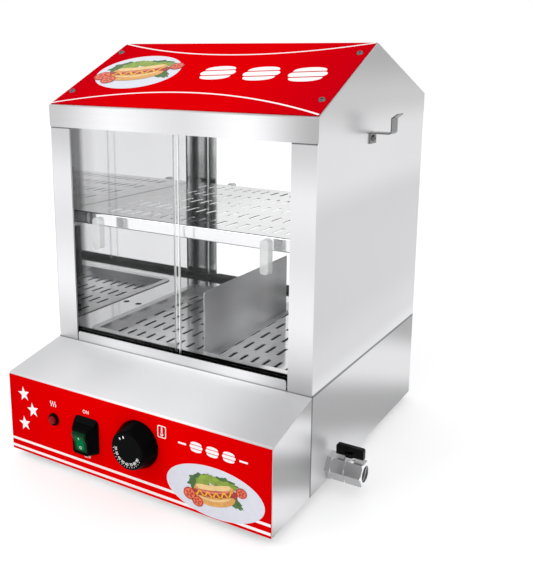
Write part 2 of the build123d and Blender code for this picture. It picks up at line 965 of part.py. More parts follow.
with BuildPart() as indicator_lens:
    with BuildSketch(upright(panel_face - lamp_flange + lens_seat)):
        with Locations(lamp_place):
            Circle(lens_radius)
    extrude(amount=lens_seat + lens_rise)
    fillet(edges().filter_by(GeomType.CIRCLE).sort_by(Axis.Y)[0], lens_round)
finish(indicator_lens, "indicator_lens")

block_middle = block_setback - block_depth / 2
block_pitch = block_width / block_ways
first_way = block_across - (block_width - block_pitch) / 2
block_holes = [first_way + way * block_pitch for way in range(block_ways)]

with BuildPart() as terminal_block:
    with BuildSketch(level(sheet)):
        with Locations((block_across, block_middle)):
            RectangleRounded(block_width, block_depth, block_corner)
    extrude(amount=block_height)
    with BuildSketch(level(sheet + block_height)):
        with Locations(*[(across, block_middle) for across in block_holes]):
            Circle(block_screw)
    extrude(amount=-block_screw_depth, mode=Mode.SUBTRACT)
finish(terminal_block, "terminal_block")

# Inner leads, each from the face that it leaves to the face that it meets. Their routes are
# across, setback and height.
switch_back = panel_face + switch_body_depth
lamp_back = panel_face + lamp_barrel_length
terminal_end = element_end - terminal_length
block_floor = sheet + block_height - block_screw_depth
lead_routes = {
    "block to right terminal": [
        (element_across, terminal_end, element_height),
        (element_across, terminal_end - 17, element_height),
        (block_holes[3], block_middle - 19, element_height + 10),
        (block_holes[3], block_middle, element_height + 12),
        (block_holes[3], block_middle, block_floor),
    ],
    "thermostat to block": [
        (knob_across + 8, thermostat_back, knob_height + 2),
        (knob_across + 8, thermostat_back + 17, knob_height + 2),
        (block_holes[0], block_middle, knob_height - 10),
        (block_holes[0], block_middle, block_floor),
    ],
    "thermostat to left terminal": [
        (knob_across - 9, thermostat_back, knob_height - 8),
        (knob_across - 9, thermostat_back + 16, knob_height - 8),
        (knob_across - 45, thermostat_back + 24, element_height + 18),
        (-element_across + 40, terminal_end - 7, element_height + 8),
        (-element_across, terminal_end - 20, element_height),
        (-element_across, terminal_end, element_height),
    ],
    "switch to block": [
        (switch_across + 7, switch_back, switch_height + 8),
        (switch_across + 7, switch_back + 15, switch_height + 8),
        (switch_across + 20, switch_back + 22, switch_height + 27),
        (knob_across, switch_back + 27, switch_height + 32),
        (block_holes[1] - 12, switch_back + 26, switch_height + 24),
        (block_holes[1], block_middle, switch_height),
        (block_holes[1], block_middle, block_floor),
    ],
    "switch to thermostat": [
        (switch_across + 7, switch_back, switch_height - 7),
        (switch_across + 7, switch_back + 14, switch_height - 7),
        (knob_across - 7, thermostat_back + 14, knob_height + 10),
        (knob_across - 7, thermostat_back, knob_height + 10),
    ],
    "lamp to switch, upper": [
        (lamp_across + 2, lamp_back, lamp_height + 2),
        (lamp_across + 2, lamp_back + 15, lamp_height + 2),
        (switch_across - 7, switch_back + 14, switch_height + 11),
        (switch_across - 7, switch_back, switch_height + 11),
    ],
    "lamp to switch, lower": [
        (lamp_across - 2, lamp_back, lamp_height - 3),
        (lamp_across - 2, lamp_back + 17, lamp_height - 3),
        (switch_across - 7, switch_back + 16, switch_height - 4),
        (switch_across - 7, switch_back, switch_height - 4),
    ],
}


def bend_radii(route):
    """The radius at each corner of a lead, as large as its two runs allow."""
    radii = []
    for before, corner, after in zip(route, route[1:], route[2:]):
        arriving = Vector(*corner) - Vector(*before)
        leaving = Vector(*after) - Vector(*corner)
        turn = radians(arriving.get_angle(leaving))
        shorter = min(arriving.length, leaving.length)
        radii.append(wire_bend_share * shorter / tan(turn / 2))
    return radii


with BuildPart() as wiring:
    for lead_name, route in lead_routes.items():
        radii = bend_radii(route)
        print(lead_name, "bends at radii of", [round(radius, 1) for radius in radii])
        with BuildLine() as lead:
            FilletPolyline(*[point(*place) for place in route], radius=radii)
        with BuildSketch(Plane(lead.line @ 0, z_dir=lead.line % 0)):
            Circle(wire_radius)
        sweep(path=lead.line)
finish(wiring, "wiring")

# ---------------------------------------------------------------- cord gland
gland_place = (gland_across, gland_height)
gland_inner_end = cabinet_depth - sheet - gland_inside

with BuildPart() as cord_gland:
    with BuildSketch(upright(cabinet_depth)):
        with Locations(gland_place):
            hexagon(gland_flats)
    extrude(amount=-gland_hex)
    with BuildSketch(upright(cabinet_depth + gland_hex)):
        with Locations(gland_place):
            Circle(gland_cap_radius)
    extrude(amount=gland_hex - gland_reach)
    fillet(edges().filter_by(GeomType.CIRCLE).sort_by(Axis.Y)[-1], gland_cap_round)
    with BuildSketch(upright(cabinet_depth)):
        with Locations(gland_place):
            Circle(gland_radius)
    extrude(amount=sheet + gland_inside)
    with BuildSketch(upright(gland_inner_end)):
        with Locations(gland_place):
            Circle(gland_bore)
    extrude(amount=gland_inner_end - cabinet_depth - gland_reach, mode=Mode.SUBTRACT)
finish(cord_gland, "cord_gland")

with BuildPart() as gland_nut:
    with BuildSketch(upright(cabinet_depth - sheet)):
        with Locations(gland_place):
            hexagon(gland_flats)
            Circle(gland_radius + running_clearance, mode=Mode.SUBTRACT)
    extrude(amount=gland_nut_width)
finish(gland_nut, "gland_nut")

# ---------------------------------------------------------------- cabinet shell
hook_screw_place = (hook_setback, hook_arm_height - hook_screw_drop)


def side_outline():
    """A cabinet side, up to the underside of the roof, in the sketch at hand."""
    depth = sheet + running_clearance
    Polygon(
        (0, seam_height),
        (0, roof(0, depth)),
        (ridge_setback, roof(ridge_setback, depth)),
        (cabinet_depth, roof(cabinet_depth, depth)),
        (cabinet_depth, seam_height),
        align=None,
    )


with BuildPart() as left_side_panel:
    with BuildSketch(side(-half_width)):
        side_outline()
    extrude(amount=sheet)
finish(left_side_panel, "left_side_panel")

with BuildPart() as right_side_panel:
    with BuildSketch(side(half_width)):
        side_outline()
        with Locations(hook_screw_place):
            Circle(screw_shank + running_clearance, mode=Mode.SUBTRACT)
    extrude(amount=-sheet)
finish(right_side_panel, "right_side_panel")

# Each corner post is a face with its inner edge folded back behind it, above the deck.
for face, fold, name in ((0, 1, "front_posts"), (cabinet_depth, -1, "rear_posts")):
    post_top = roof(face, sheet + running_clearance)
    with BuildPart() as posts:
        for hand in (-1, 1):
            with BuildSketch(level(seam_height)):
                across = sorted((hand * post_inner, hand * inner_half))
                span(*across, *sorted((face, face + fold * sheet)))
            extrude(amount=post_top - seam_height)
            with BuildSketch(level(deck_top)):
                across = sorted((hand * post_inner, hand * (post_inner + sheet)))
                span(*across, *sorted((face, face + fold * (sheet + post_hem))))
            extrude(amount=post_top - deck_top)
    finish(posts, name)

with BuildPart() as canopy_band:
    with BuildSketch(upright(0)):
        span(-half_width, half_width, front_eaves - band_height, roof(-sheet, sheet))
        fillet(vertices().group_by(Axis.Y)[0], band_corner)
    extrude(amount=sheet)
finish(canopy_band, "canopy_band")

with BuildPart() as rear_band:
    with BuildSketch(upright(cabinet_depth)):
        span(-half_width, half_width, back_eaves - band_height, roof(cabinet_depth + sheet, sheet))
        fillet(vertices().group_by(Axis.Y)[0], band_corner)
    extrude(amount=-sheet)
finish(rear_band, "rear_band")

front_roof_plane = Plane(point(0, 0, front_eaves), (1, 0, 0), (0, -front_slope, 1))
sign_screws = [
    (x, s) for x in (-sign_screw_across, sign_screw_across) for s in (sign_screw_low, sign_screw_high)
]
front_roof_length = ridge_setback * hypot(1, front_slope)

with BuildPart() as roof_front:
    with BuildSketch(side(-half_width)):
        Polygon(
            (-sheet, roof(-sheet, sheet)),
            (-sheet, roof(-sheet)),
            (ridge_setback, ridge_height),
            (ridge_setback, roof(ridge_setback, sheet)),
            align=None,
        )
    extrude(amount=body_width)
    with BuildSketch(front_roof_plane):
        with Locations(*sign_screws):
            Circle(screw_shank + running_clearance)
    extrude(amount=-2 * sheet, mode=Mode.SUBTRACT)
finish(roof_front, "roof_front")

with BuildPart() as roof_rear:
    with BuildSketch(side(-half_width)):
        Polygon(
            (cabinet_depth + sheet, roof(cabinet_depth + sheet, sheet)),
            (cabinet_depth + sheet, roof(cabinet_depth + sheet)),
            (ridge_setback, ridge_height),
            (ridge_setback, roof(ridge_setback, sheet)),
            align=None,
        )
    extrude(amount=body_width)
finish(roof_rear, "roof_rear")

with BuildPart() as sign_plate:
    with BuildSketch(front_roof_plane):
        edge = half_width - sign_margin
        span(-edge, edge, sign_margin, front_roof_length - sign_margin)
        with Locations(*sign_screws):
            Circle(screw_shank + running_clearance, mode=Mode.SUBTRACT)
    extrude(amount=sign_sheet)
finish(sign_plate, "sign_plate")

screw_seats = [
    (front_roof_plane.offset(sign_sheet), sign_screws),
    (side(half_width + hook_sheet), [hook_screw_place]),
]

with BuildPart() as pan_screws:
    for seat, places in screw_seats:
        with BuildSketch(seat):
            with Locations(*places):
                Circle(screw_head)
        extrude(amount=screw_rise, taper=screw_taper)
        with BuildSketch(seat):
            with Locations(*places):
                Circle(screw_shank)
        extrude(amount=-screw_length)
        with BuildSketch(seat.offset(screw_rise)):
            with Locations(*places):
                Rectangle(screw_cross, screw_cross_width)
                Rectangle(screw_cross_width, screw_cross)
        extrude(amount=-screw_cross_depth, mode=Mode.SUBTRACT)
finish(pan_screws, "pan_screws")

with BuildPart() as door_sills:
    for face in (0, cabinet_depth - sheet):
        with BuildSketch(upright(face)):
            edge = post_inner - sill_gap
            span(-edge, edge, seam_height, seam_height + sill_height)
            fillet(vertices().group_by(Axis.Y)[-1], sill_corner)
        extrude(amount=-sheet)
finish(door_sills, "door_sills")

# ---------------------------------------------------------------- tracks and doors
track_depth = 3 * track_rib + 2 * channel_width
track_starts = (track_setback, cabinet_depth - track_setback - track_depth)


def channels(start, root, tip):
    """The section of a two-channel track, from its root's outer face to its ribs' tips."""
    inner = root + track_base if tip > root else root - track_base
    span(start, start + track_depth, min(root, inner), max(root, inner))
    for rib in range(3):
        rib_start = start + rib * (track_rib + channel_width)
        span(rib_start, rib_start + track_rib, min(root, tip), max(root, tip))


with BuildPart() as door_tracks:
    with BuildSketch(side(-inner_half)):
        for start in track_starts:
            channels(start, deck_top, deck_top + track_height)
    extrude(amount=2 * inner_half)
finish(door_tracks, "door_tracks")

with BuildPart() as door_guides:
    with BuildSketch(side(-inner_half)):
        for start in track_starts:
            channels(start, guide_top, guide_top - guide_height)
    extrude(amount=2 * inner_half)
finish(door_guides, "door_guides")

door_bottom = deck_top + track_base + door_play
door_top = guide_top - track_base - door_headroom
door_edge = post_inner + door_behind_post
outer_channel = track_setback + track_rib + channel_width / 2
inner_channel = outer_channel + track_rib + channel_width
doors = (
    ("front_left", -1, outer_channel, near_handle_across, 1),
    ("front_right", 1, inner_channel, far_handle_across, 1),
    ("rear_right", 1, outer_channel, near_handle_across, -1),
    ("rear_left", -1, inner_channel, far_handle_across, -1),
)

# facing is 1 for a door in the front, -1 for one in the back
for name, hand, channel, handle_across, facing in doors:
    middle = channel if facing > 0 else cabinet_depth - channel
    with BuildPart() as pane:
        with BuildSketch(upright(middle)):
            span(*sorted((-hand * door_overlap, hand * door_edge)), door_bottom, door_top)
        extrude(amount=glass / 2, both=True)
        chamfer(edges().filter_by(Axis.Z), door_bevel)
    finish(pane, f"{name}_door")

    with BuildPart() as handle:
        with BuildSketch(upright(middle - facing * glass / 2)):
            with Locations((hand * handle_across, handle_bottom + handle_height / 2)):
                RectangleRounded(handle_width, handle_height, handle_corner)
        extrude(amount=facing * handle_depth)
        outer_edges = edges().group_by(Axis.Y)[0 if facing > 0 else -1]
        fillet(outer_edges, handle_round)
    finish(handle, f"{name}_handle")

# ---------------------------------------------------------------- shelf
shelf_half = inner_half - shelf_side_gap

shelf_slot_run = shelf_back - shelf_front - 2 * shelf_slot_end - shelf_slot_length
shelf_slot_row_pitch = shelf_slot_run / (shelf_slot_rows - 1)

with BuildPart() as shelf:
    with BuildSketch(side(-shelf_half)):
        with BuildLine():
            FilletPolyline(
                (shelf_front + shelf_lip_return, shelf_top - shelf_lip),
                (shelf_front, shelf_top - shelf_lip),
                (shelf_front, shelf_top),
                (shelf_back, shelf_top),
                (shelf_back, shelf_top - shelf_lip),
                (shelf_back - shelf_lip_return, shelf_top - shelf_lip),
                radius=fold_radius,
            )
            offset(amount=sheet, side=Side.RIGHT)
        make_face()
    extrude(amount=2 * shelf_half)
    with BuildSketch(level(shelf_top)):
        with Locations((0, (shelf_front + shelf_back) / 2)):
            with GridLocations(
                shelf_slot_pitch, shelf_slot_row_pitch, shelf_slot_columns, shelf_slot_rows
            ):
                SlotOverall(shelf_slot_length, shelf_slot_width, rotation=90)
    extrude(amount=-sheet, mode=Mode.SUBTRACT)
finish(shelf, "shelf")

rail_top = shelf_top - sheet - seat_gap

with BuildPart() as shelf_rails:
    for hand in (-1, 1):
        with BuildSketch(upright(shelf_front + rail_inset)):
            wall = hand * inner_half
            inner = hand * (inner_half - rail_width)
            span(*sorted((wall, inner)), rail_top - rail_sheet, rail_top)
            inner = hand * (inner_half - rail_sheet)
            span(*sorted((wall, inner)), rail_top - rail_width, rail_top)
        extrude(amount=shelf_front - shelf_back + 2 * rail_inset)
finish(shelf_rails, "shelf_rails")

# ---------------------------------------------------------------- tong hook
with BuildPart() as tong_hook:
    with BuildSketch(upright(hook_setback + hook_width / 2)):
        with BuildLine():
            FilletPolyline(
                (half_width, hook_arm_height - hook_flange),
                (half_width, hook_arm_height),
                (half_width + hook_reach, hook_arm_height),
                (half_width + hook_reach, hook_arm_height + hook_rise),
                (half_width + hook_reach + hook_tip_reach, hook_arm_height + hook_rise + hook_tip_rise),
                radius=hook_bend,
            )
            offset(amount=hook_sheet, side=Side.RIGHT)
        make_face()
    extrude(amount=hook_width)
    with BuildSketch(side(half_width)):
        with Locations(hook_screw_place):
            Circle(screw_shank + running_clearance)
    extrude(amount=hook_sheet, mode=Mode.SUBTRACT)
finish(tong_hook, "tong_hook")
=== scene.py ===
"""The looks of the hot dog steamer: finishes, printed graphics, small trim, light and camera.

Metres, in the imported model's frame. Places on the cabinet are given as on the part itself, in
millimetres: across from the cabinet's middle, setback from its front face, height above the
base's bottom edge.
"""
import json
import math

import bmesh
import bpy
from mathutils import Matrix, Vector


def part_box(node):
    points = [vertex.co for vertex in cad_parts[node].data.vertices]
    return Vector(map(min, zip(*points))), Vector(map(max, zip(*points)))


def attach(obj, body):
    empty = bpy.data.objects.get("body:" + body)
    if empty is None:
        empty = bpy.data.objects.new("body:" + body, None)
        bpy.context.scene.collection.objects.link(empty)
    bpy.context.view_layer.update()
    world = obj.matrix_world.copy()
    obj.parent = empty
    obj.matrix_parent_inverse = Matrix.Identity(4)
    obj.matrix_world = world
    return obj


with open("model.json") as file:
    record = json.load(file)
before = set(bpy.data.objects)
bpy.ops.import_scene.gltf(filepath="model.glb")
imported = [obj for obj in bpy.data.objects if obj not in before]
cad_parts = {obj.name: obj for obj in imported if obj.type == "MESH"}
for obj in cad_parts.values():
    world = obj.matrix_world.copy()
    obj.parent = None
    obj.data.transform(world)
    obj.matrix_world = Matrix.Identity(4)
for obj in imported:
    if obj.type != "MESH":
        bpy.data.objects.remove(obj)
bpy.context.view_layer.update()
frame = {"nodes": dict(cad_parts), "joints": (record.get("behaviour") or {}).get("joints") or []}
nodes = frame["nodes"]
MM = 0.001
ACROSS = (1, 0, 0)
BACK = (0, 1, 0)
UP = (0, 0, 1)

# ---------------------------------------------------------------- places
side_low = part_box("base_left_side")[0]
panel_low, panel_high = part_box("control_panel")
MIDDLE_X = (panel_low.x + panel_high.x) / 2
FRONT_Y = side_low.y
BASE_Z = side_low.z


def place(across, setback, height):
    """A point of the cabinet, from millimetres to the frame's metres."""
    return Vector((MIDDLE_X + across * MM, FRONT_Y + setback * MM, BASE_Z + height * MM))


def surface(origin, along, upward):
    """The matrix of a flat face: x along, y upward and z out of it."""
    along = Vector(along).normalized()
    upward = Vector(upward).normalized()
    outward = along.cross(upward)
    turned = Matrix((along, upward, outward)).transposed().to_4x4()
    return Matrix.Translation(origin) @ turned


ROOF_RISE = 75.0
ROOF_RUN = 147.0
EAVES = 410.0
SIGN_SHEET = 0.8
roof_length = math.hypot(ROOF_RISE, ROOF_RUN)
roof_normal = Vector((0, -ROOF_RISE, ROOF_RUN)) / roof_length

panel_face = surface(Vector((MIDDLE_X, panel_low.y, BASE_Z)), (1, 0, 0), (0, 0, 1))
sign_face = surface(
    place(0, 0, EAVES) + roof_normal * SIGN_SHEET * MM, (1, 0, 0), (0, ROOF_RUN, ROOF_RISE)
)

# ---------------------------------------------------------------- shader helpers


class Shader:
    """A procedural material under construction."""

    def __init__(self, name, **sockets):
        self.material = bpy.data.materials.new(name)
        self.material.use_nodes = True
        self.tree = self.material.node_tree
        self.base = self.tree.nodes["Principled BSDF"]
        for socket, value in sockets.items():
            self.set(self.base, socket.replace("_", " "), value)

    def set(self, node, socket, value):
        """Gives a socket a value, or the output of another node."""
        if isinstance(value, bpy.types.NodeSocket):
            self.tree.links.new(value, node.inputs[socket])
        else:
            node.inputs[socket].default_value = value

    def add(self, kind, inputs=(), **settings):
        """A new node with its settings and inputs."""
        made = self.tree.nodes.new(kind)
        for key, value in settings.items():
            setattr(made, key, value)
        for socket, value in dict(inputs).items():
            self.set(made, socket, value)
        return made

    def coordinates(self, scale):
        """The object's own coordinates in metres, stretched by a scale each way."""
        source = self.add("ShaderNodeTexCoord").outputs["Object"]
        mapping = self.add("ShaderNodeMapping", {"Vector": source, "Scale": scale})
        return mapping.outputs["Vector"]

    def noise(self, scale, detail=3.0, roughness=0.5):
        """Noise over the object, stretched by a scale each way."""
        made = self.add(
            "ShaderNodeTexNoise",
            {"Vector": self.coordinates(scale), "Scale": 1.0, "Detail": detail, "Roughness": roughness},
        )
        return made.outputs["Fac"]

    def mapped(self, value, low, high, from_low=0.0, from_high=1.0):
        """A value carried from one range to another, and held inside it."""
        made = self.add(
            "ShaderNodeMapRange",
            {"Value": value, "From Min": from_low, "From Max": from_high, "To Min": low, "To Max": high},
        )
        return made.outputs["Result"]

    def math(self, operation, first, second=0.0):
        """One sum."""
        return self.add("ShaderNodeMath", {0: first, 1: second}, operation=operation).outputs[0]

    def mix(self, share, first, second):
        """A colour between two colours."""
        made = self.add("ShaderNodeMix", data_type="RGBA")
        for socket, value in ((0, share), (6, first), (7, second)):
            self.set(made, socket, value)
        return made.outputs[2]

    def along(self, axis):
        """The place along a direction of the object, in the cabinet's millimetres."""
        source = self.add("ShaderNodeTexCoord").outputs["Object"]
        made = self.add("ShaderNodeVectorMath", {0: source, 1: axis}, operation="DOT_PRODUCT")
        start = Vector(axis).dot(place(0, 0, 0))
        return self.math("DIVIDE", self.math("SUBTRACT", made.outputs["Value"], start), MM)

    def ramp(self, value, stops):
        """Soft greys along a value, from stops of a value and a tone."""
        first, last = stops[0][0], stops[-1][0]
        share = self.mapped(value, 0.0, 1.0, first, last)
        made = self.add("ShaderNodeValToRGB", {"Fac": share})
        made.color_ramp.interpolation = "EASE"
        elements = made.color_ramp.elements
        for i, (spot, tone) in enumerate(stops):
            if i == 0:
                element = elements[0]
            elif i == len(stops) - 1:
                element = elements[-1]
            else:
                element = elements.new((spot - first) / (last - first))
            element.color = grey(tone)
        return made.outputs["Color"]

    def tinted(self, first, second):
        """One colour multiplied by another."""
        made = self.add("ShaderNodeMix", data_type="RGBA", blend_type="MULTIPLY")
        for socket, value in ((0, 1.0), (6, first), (7, second)):
            self.set(made, socket, value)
        return made.outputs[2]

    def facing(self, axis, low=0.4, high=0.7):
        """1 where the surface faces along an axis of the object, 0 where it doesn't."""
        normal = self.add("ShaderNodeTexCoord").outputs["Normal"]
        made = self.add("ShaderNodeVectorMath", {0: normal, 1: axis}, operation="DOT_PRODUCT")
        return self.mapped(made.outputs["Value"], 0.0, 1.0, low, high)

    def bump(self, height, strength, distance):
        """Relief from a height, fed to the surface."""
        made = self.add(
            "ShaderNodeBump", {"Height": height, "Strength": strength, "Distance": distance}
        )
        self.set(self.base, "Normal", made.outputs["Normal"])


def grey(value):
    """A neutral colour."""
    return (value, value, value * 1.005, 1.0)


GRAIN = {
    "x": (25.0, 2200.0, 2200.0),
    "y": (2200.0, 25.0, 2200.0),
    "z": (2200.0, 2200.0, 25.0),
}
GRAIN_DEPTH = 0.00002
STREAK = {"x": (3.0, 260.0, 260.0), "y": (260.0, 3.0, 260.0), "z": (260.0, 260.0, 3.0)}


def steel(
    name, tone, roughness, grain, polished=None, polish=0.1,
    relief=0.12, spread=0.08, crease_shadows=(), metal=1.0,
):
    """Stainless sheet with its grain along an axis, polished where it faces a given way.

    Its tone is one grey, or soft stops along a direction of the cabinet; the stops and tone functions are
    painted reflections and painted shade. Crease shadows are
    painted shade: thin dark lines, each a direction, a place along it, a width and a depth.
    """
    made = Shader(name, Metallic=metal)
    streaks = made.noise(STREAK[grain], 4.0, 0.6)
    lines = made.noise(GRAIN[grain], 2.0, 0.6)
    clouds = made.noise((7.0, 7.0, 7.0), 2.0, 0.5)
    shade = made.math("ADD", made.mapped(streaks, -0.5, 0.5), made.mapped(clouds, -0.5, 0.5))
    uneven = made.mix(made.mapped(shade, 0.0, 1.0, -0.4, 0.4), grey(0.96), grey(1.0))
    # a plain grey, or painted reflection and shade bands from stops or a function
    if isinstance(tone, float):
        colour = made.tinted(uneven, grey(tone))
    elif callable(tone):
        colour = made.tinted(uneven, tone(made))
    else:
        axis, stops = tone
        colour = made.tinted(uneven, made.ramp(made.along(axis), stops))
    # painted shade: dark lines where shadow falls along joints, folds and edges
    for axis, spot, width, depth in crease_shadows:
        off = made.math("ABSOLUTE", made.math("SUBTRACT", made.along(axis), spot))
        dark = made.mapped(off, 1.0 - depth, 1.0, width * 0.3, width)
        colour = made.tinted(colour, made.mix(dark, (0, 0, 0, 1), (1, 1, 1, 1)))
    made.set(made.base, "Base Color", colour)
    rough = made.mapped(streaks, roughness * (1 - spread), roughness * (1 + spread), 0.3, 0.7)
    if polished:
        mask = made.facing(polished)
        inner = made.math("MULTIPLY", mask, polish)
        outer = made.math("MULTIPLY", made.math("SUBTRACT", 1.0, mask), rough)
        rough = made.math("ADD", inner, outer)
    made.set(made.base, "Roughness", rough)
    made.bump(lines, relief, GRAIN_DEPTH)
    return made.material


def waves(direction, length, shift, low, high):
    """Painted reflections: soft light and dark bands along a direction: their length and shift in
    millimetres, their tones.
    """

    def tone(made):
        place_along = made.math("SUBTRACT", made.along(direction), shift)
        turn = made.math("MULTIPLY", place_along, math.tau / length)
        return made.ramp(made.math("COSINE", turn), ((-1.0, low), (1.0, high)))

    return tone


def painted_post_reflections(made):
    """Painted reflections on the rear corner posts: a dark band with brighter edges where they face the
    door, plain elsewhere.
    """
    off_centre = made.math("ABSOLUTE", made.along(ACROSS))
    stops = ((154, 0.75), (158, 0.3), (163, 0.04), (170, 0.05), (176, 0.5))
    return made.mix(made.facing((0, -1, 0)), grey(0.68), made.ramp(off_centre, stops))


def side_light_and_shade(outside, inward):
    """Painted light and shade on a side panel: reflection bands by height outside, a painted shadow strip
    by the door inside.
    """

    def tone(made):
        inside = ((0, 0.14), (44, 0.18), (56, 0.6), (80, 0.73), (310, 0.73))
        outer = made.ramp(made.along(UP), outside)
        return made.mix(made.facing(inward), outer, made.ramp(made.along(BACK), inside))

    return tone


def divider_light_and_shade(made):
    """Painted reflections and shade on the divider: uneven along the cabinet's depth, darker towards its
    top.
    """
    length = ((20, 0.8), (70, 0.6), (120, 0.78), (180, 0.6), (230, 0.36), (270, 0.3))
    height = ((135, 1.0), (165, 0.88), (200, 0.68), (260, 0.58))
    return made.tinted(made.ramp(made.along(BACK), length), made.ramp(made.along(UP), height))


def shelf_reflections(made):
    """Painted reflections on the shelf: brighter towards the right and on its front lip."""
    top = made.ramp(made.along(ACROSS), ((-180, 0.48), (-70, 0.6), (30, 0.8), (180, 0.8)))
    return made.mix(made.facing((0, -1, 0)), top, grey(0.8))


def facet_reflections(made):
    """Painted reflections on a plated hexagon by the way each face turns: dark above, grey at its sides,
    bright at its bevels and end.
    """
    normal = made.add("ShaderNodeTexCoord").outputs["Normal"]
    split = made.add("ShaderNodeSeparateXYZ", {"Vector": normal})
    sides = made.ramp(split.outputs["Z"], ((-1.0, 0.5), (-0.4, 0.5), (0.1, 0.62), (0.6, 0.3), (1.0, 0.6)))
    bevel = made.mapped(made.math("ABSOLUTE", split.outputs["X"]), 0.0, 1.0, 0.2, 0.5)
    return made.mix(bevel, sides, grey(0.95))


def lacquer(name, colour, ends):
    """Printed enamel, a little deeper towards the plate's ends."""
    made = Shader(name, Roughness=0.5)
    made.set(made.base, "Specular IOR Level", 0.0)
    position = made.coordinates((1.0, 1.0, 1.0))
    across = made.add("ShaderNodeSeparateXYZ", {"Vector": position}).outputs["X"]
    off_centre = made.math("ABSOLUTE", made.math("SUBTRACT", across, MIDDLE_X))
    share = made.mapped(off_centre, 0.0, 1.0, 0.06, 0.19)
    darker = [c * 0.94 for c in colour[:3]] + [1.0]
    mottled = made.mix(made.noise((90.0, 90.0, 90.0), 3.0), colour, darker)
    made.set(made.base, "Base Color", made.mix(share, mottled, ends))
    made.bump(made.noise((700.0, 700.0, 700.0), 2.0), 0.05, 0.00003)
    return made.material


def plastic(name, colour, roughness, shine=0.5, fine=900.0, relief=0.15, **sockets):
    """Moulded plastic with a fine surface and a slightly uneven gloss."""
    made = Shader(name, **sockets)
    made.set(made.base, "Specular IOR Level", shine)
    cloud = made.noise((60.0, 60.0, 60.0), 3.0)
    darker = [c * 0.82 for c in colour[:3]] + [1.0]
    made.set(made.base, "Base Color", made.mix(cloud, darker, colour))
    made.set(made.base, "Roughness", made.mapped(cloud, roughness * 0.85, roughness * 1.15, 0.3, 0.7))
    made.bump(made.noise((fine, fine, fine), 2.0), relief, 0.00003)
    return made.material


def ink(name, colour, variation):
    """Printed colour, slightly uneven."""
    made = Shader(name, Roughness=0.45)
    cloud = made.noise((160.0, 160.0, 160.0), 4.0, 0.65)
    darker = [c * variation for c in colour[:3]] + [1.0]
    made.set(made.base, "Base Color", made.mix(made.mapped(cloud, 0, 1, 0.35, 0.65), darker, colour))
    made.bump(made.noise((1400.0, 1400.0, 1400.0), 2.0), 0.05, 0.00002)
    return made.material


GLASS_SHINE = 0.012
GLASS_HAZE = 0.006
GLASS_SLANT_SHINE = 0.95
GLASS_EDGE_COVER = 0.92


def door_glass(name):
    """Clear sheet glass: a mirror as strong as glass reflects, over what lies behind it.

    Its polished side edges are brighter and hardly see-through.
    """
    made = Shader(name, Metallic=1.0)
    slant = made.add("ShaderNodeLayerWeight", {"Blend": 0.5}).outputs["Facing"]
    haze = made.noise((25.0, 25.0, 25.0), 3.0)
    clear = made.mapped(haze, GLASS_SHINE, GLASS_SHINE + GLASS_HAZE, 0.4, 0.7)
    glancing = made.math("MULTIPLY", made.math("POWER", slant, 5.0), GLASS_SLANT_SHINE)
    body = made.math("ADD", clear, glancing)
    edge = made.math("ADD", made.facing((1, 0, 0)), made.facing((-1, 0, 0)))
    rim = made.math("ADD", made.facing((0, 0, 1)), made.facing((0, 0, -1)))
    edge = made.math("MINIMUM", made.math("ADD", edge, rim), 1.0)
    alpha = made.math("MAXIMUM", body, made.math("MULTIPLY", edge, GLASS_EDGE_COVER))
    made.set(made.base, "Alpha", made.math("MINIMUM", alpha, 1.0))
    made.set(made.base, "Base Color", made.mix(edge, (0.93, 0.96, 0.95, 1), (0.97, 0.99, 0.98, 1)))
    made.set(made.base, "Roughness", made.mapped(edge, 0.015, 0.3))
    return made.material


def side_sheet(name, outside, inward, seam_shadow):
    """A side panel's sheet: satin outside, a mirror inside, with painted reflection bands, a painted
    shadow strip by the door and a painted shadow line at the joint at its foot.
    """
    tones = side_light_and_shade(outside, inward)
    return steel(name, tones, 0.34, "z", inward, polish=0.03, relief=0.08, crease_shadows=(seam_shadow,))


# ---------------------------------------------------------------- materials
POST_TOP = 383.1  # where the front posts go up behind the canopy band


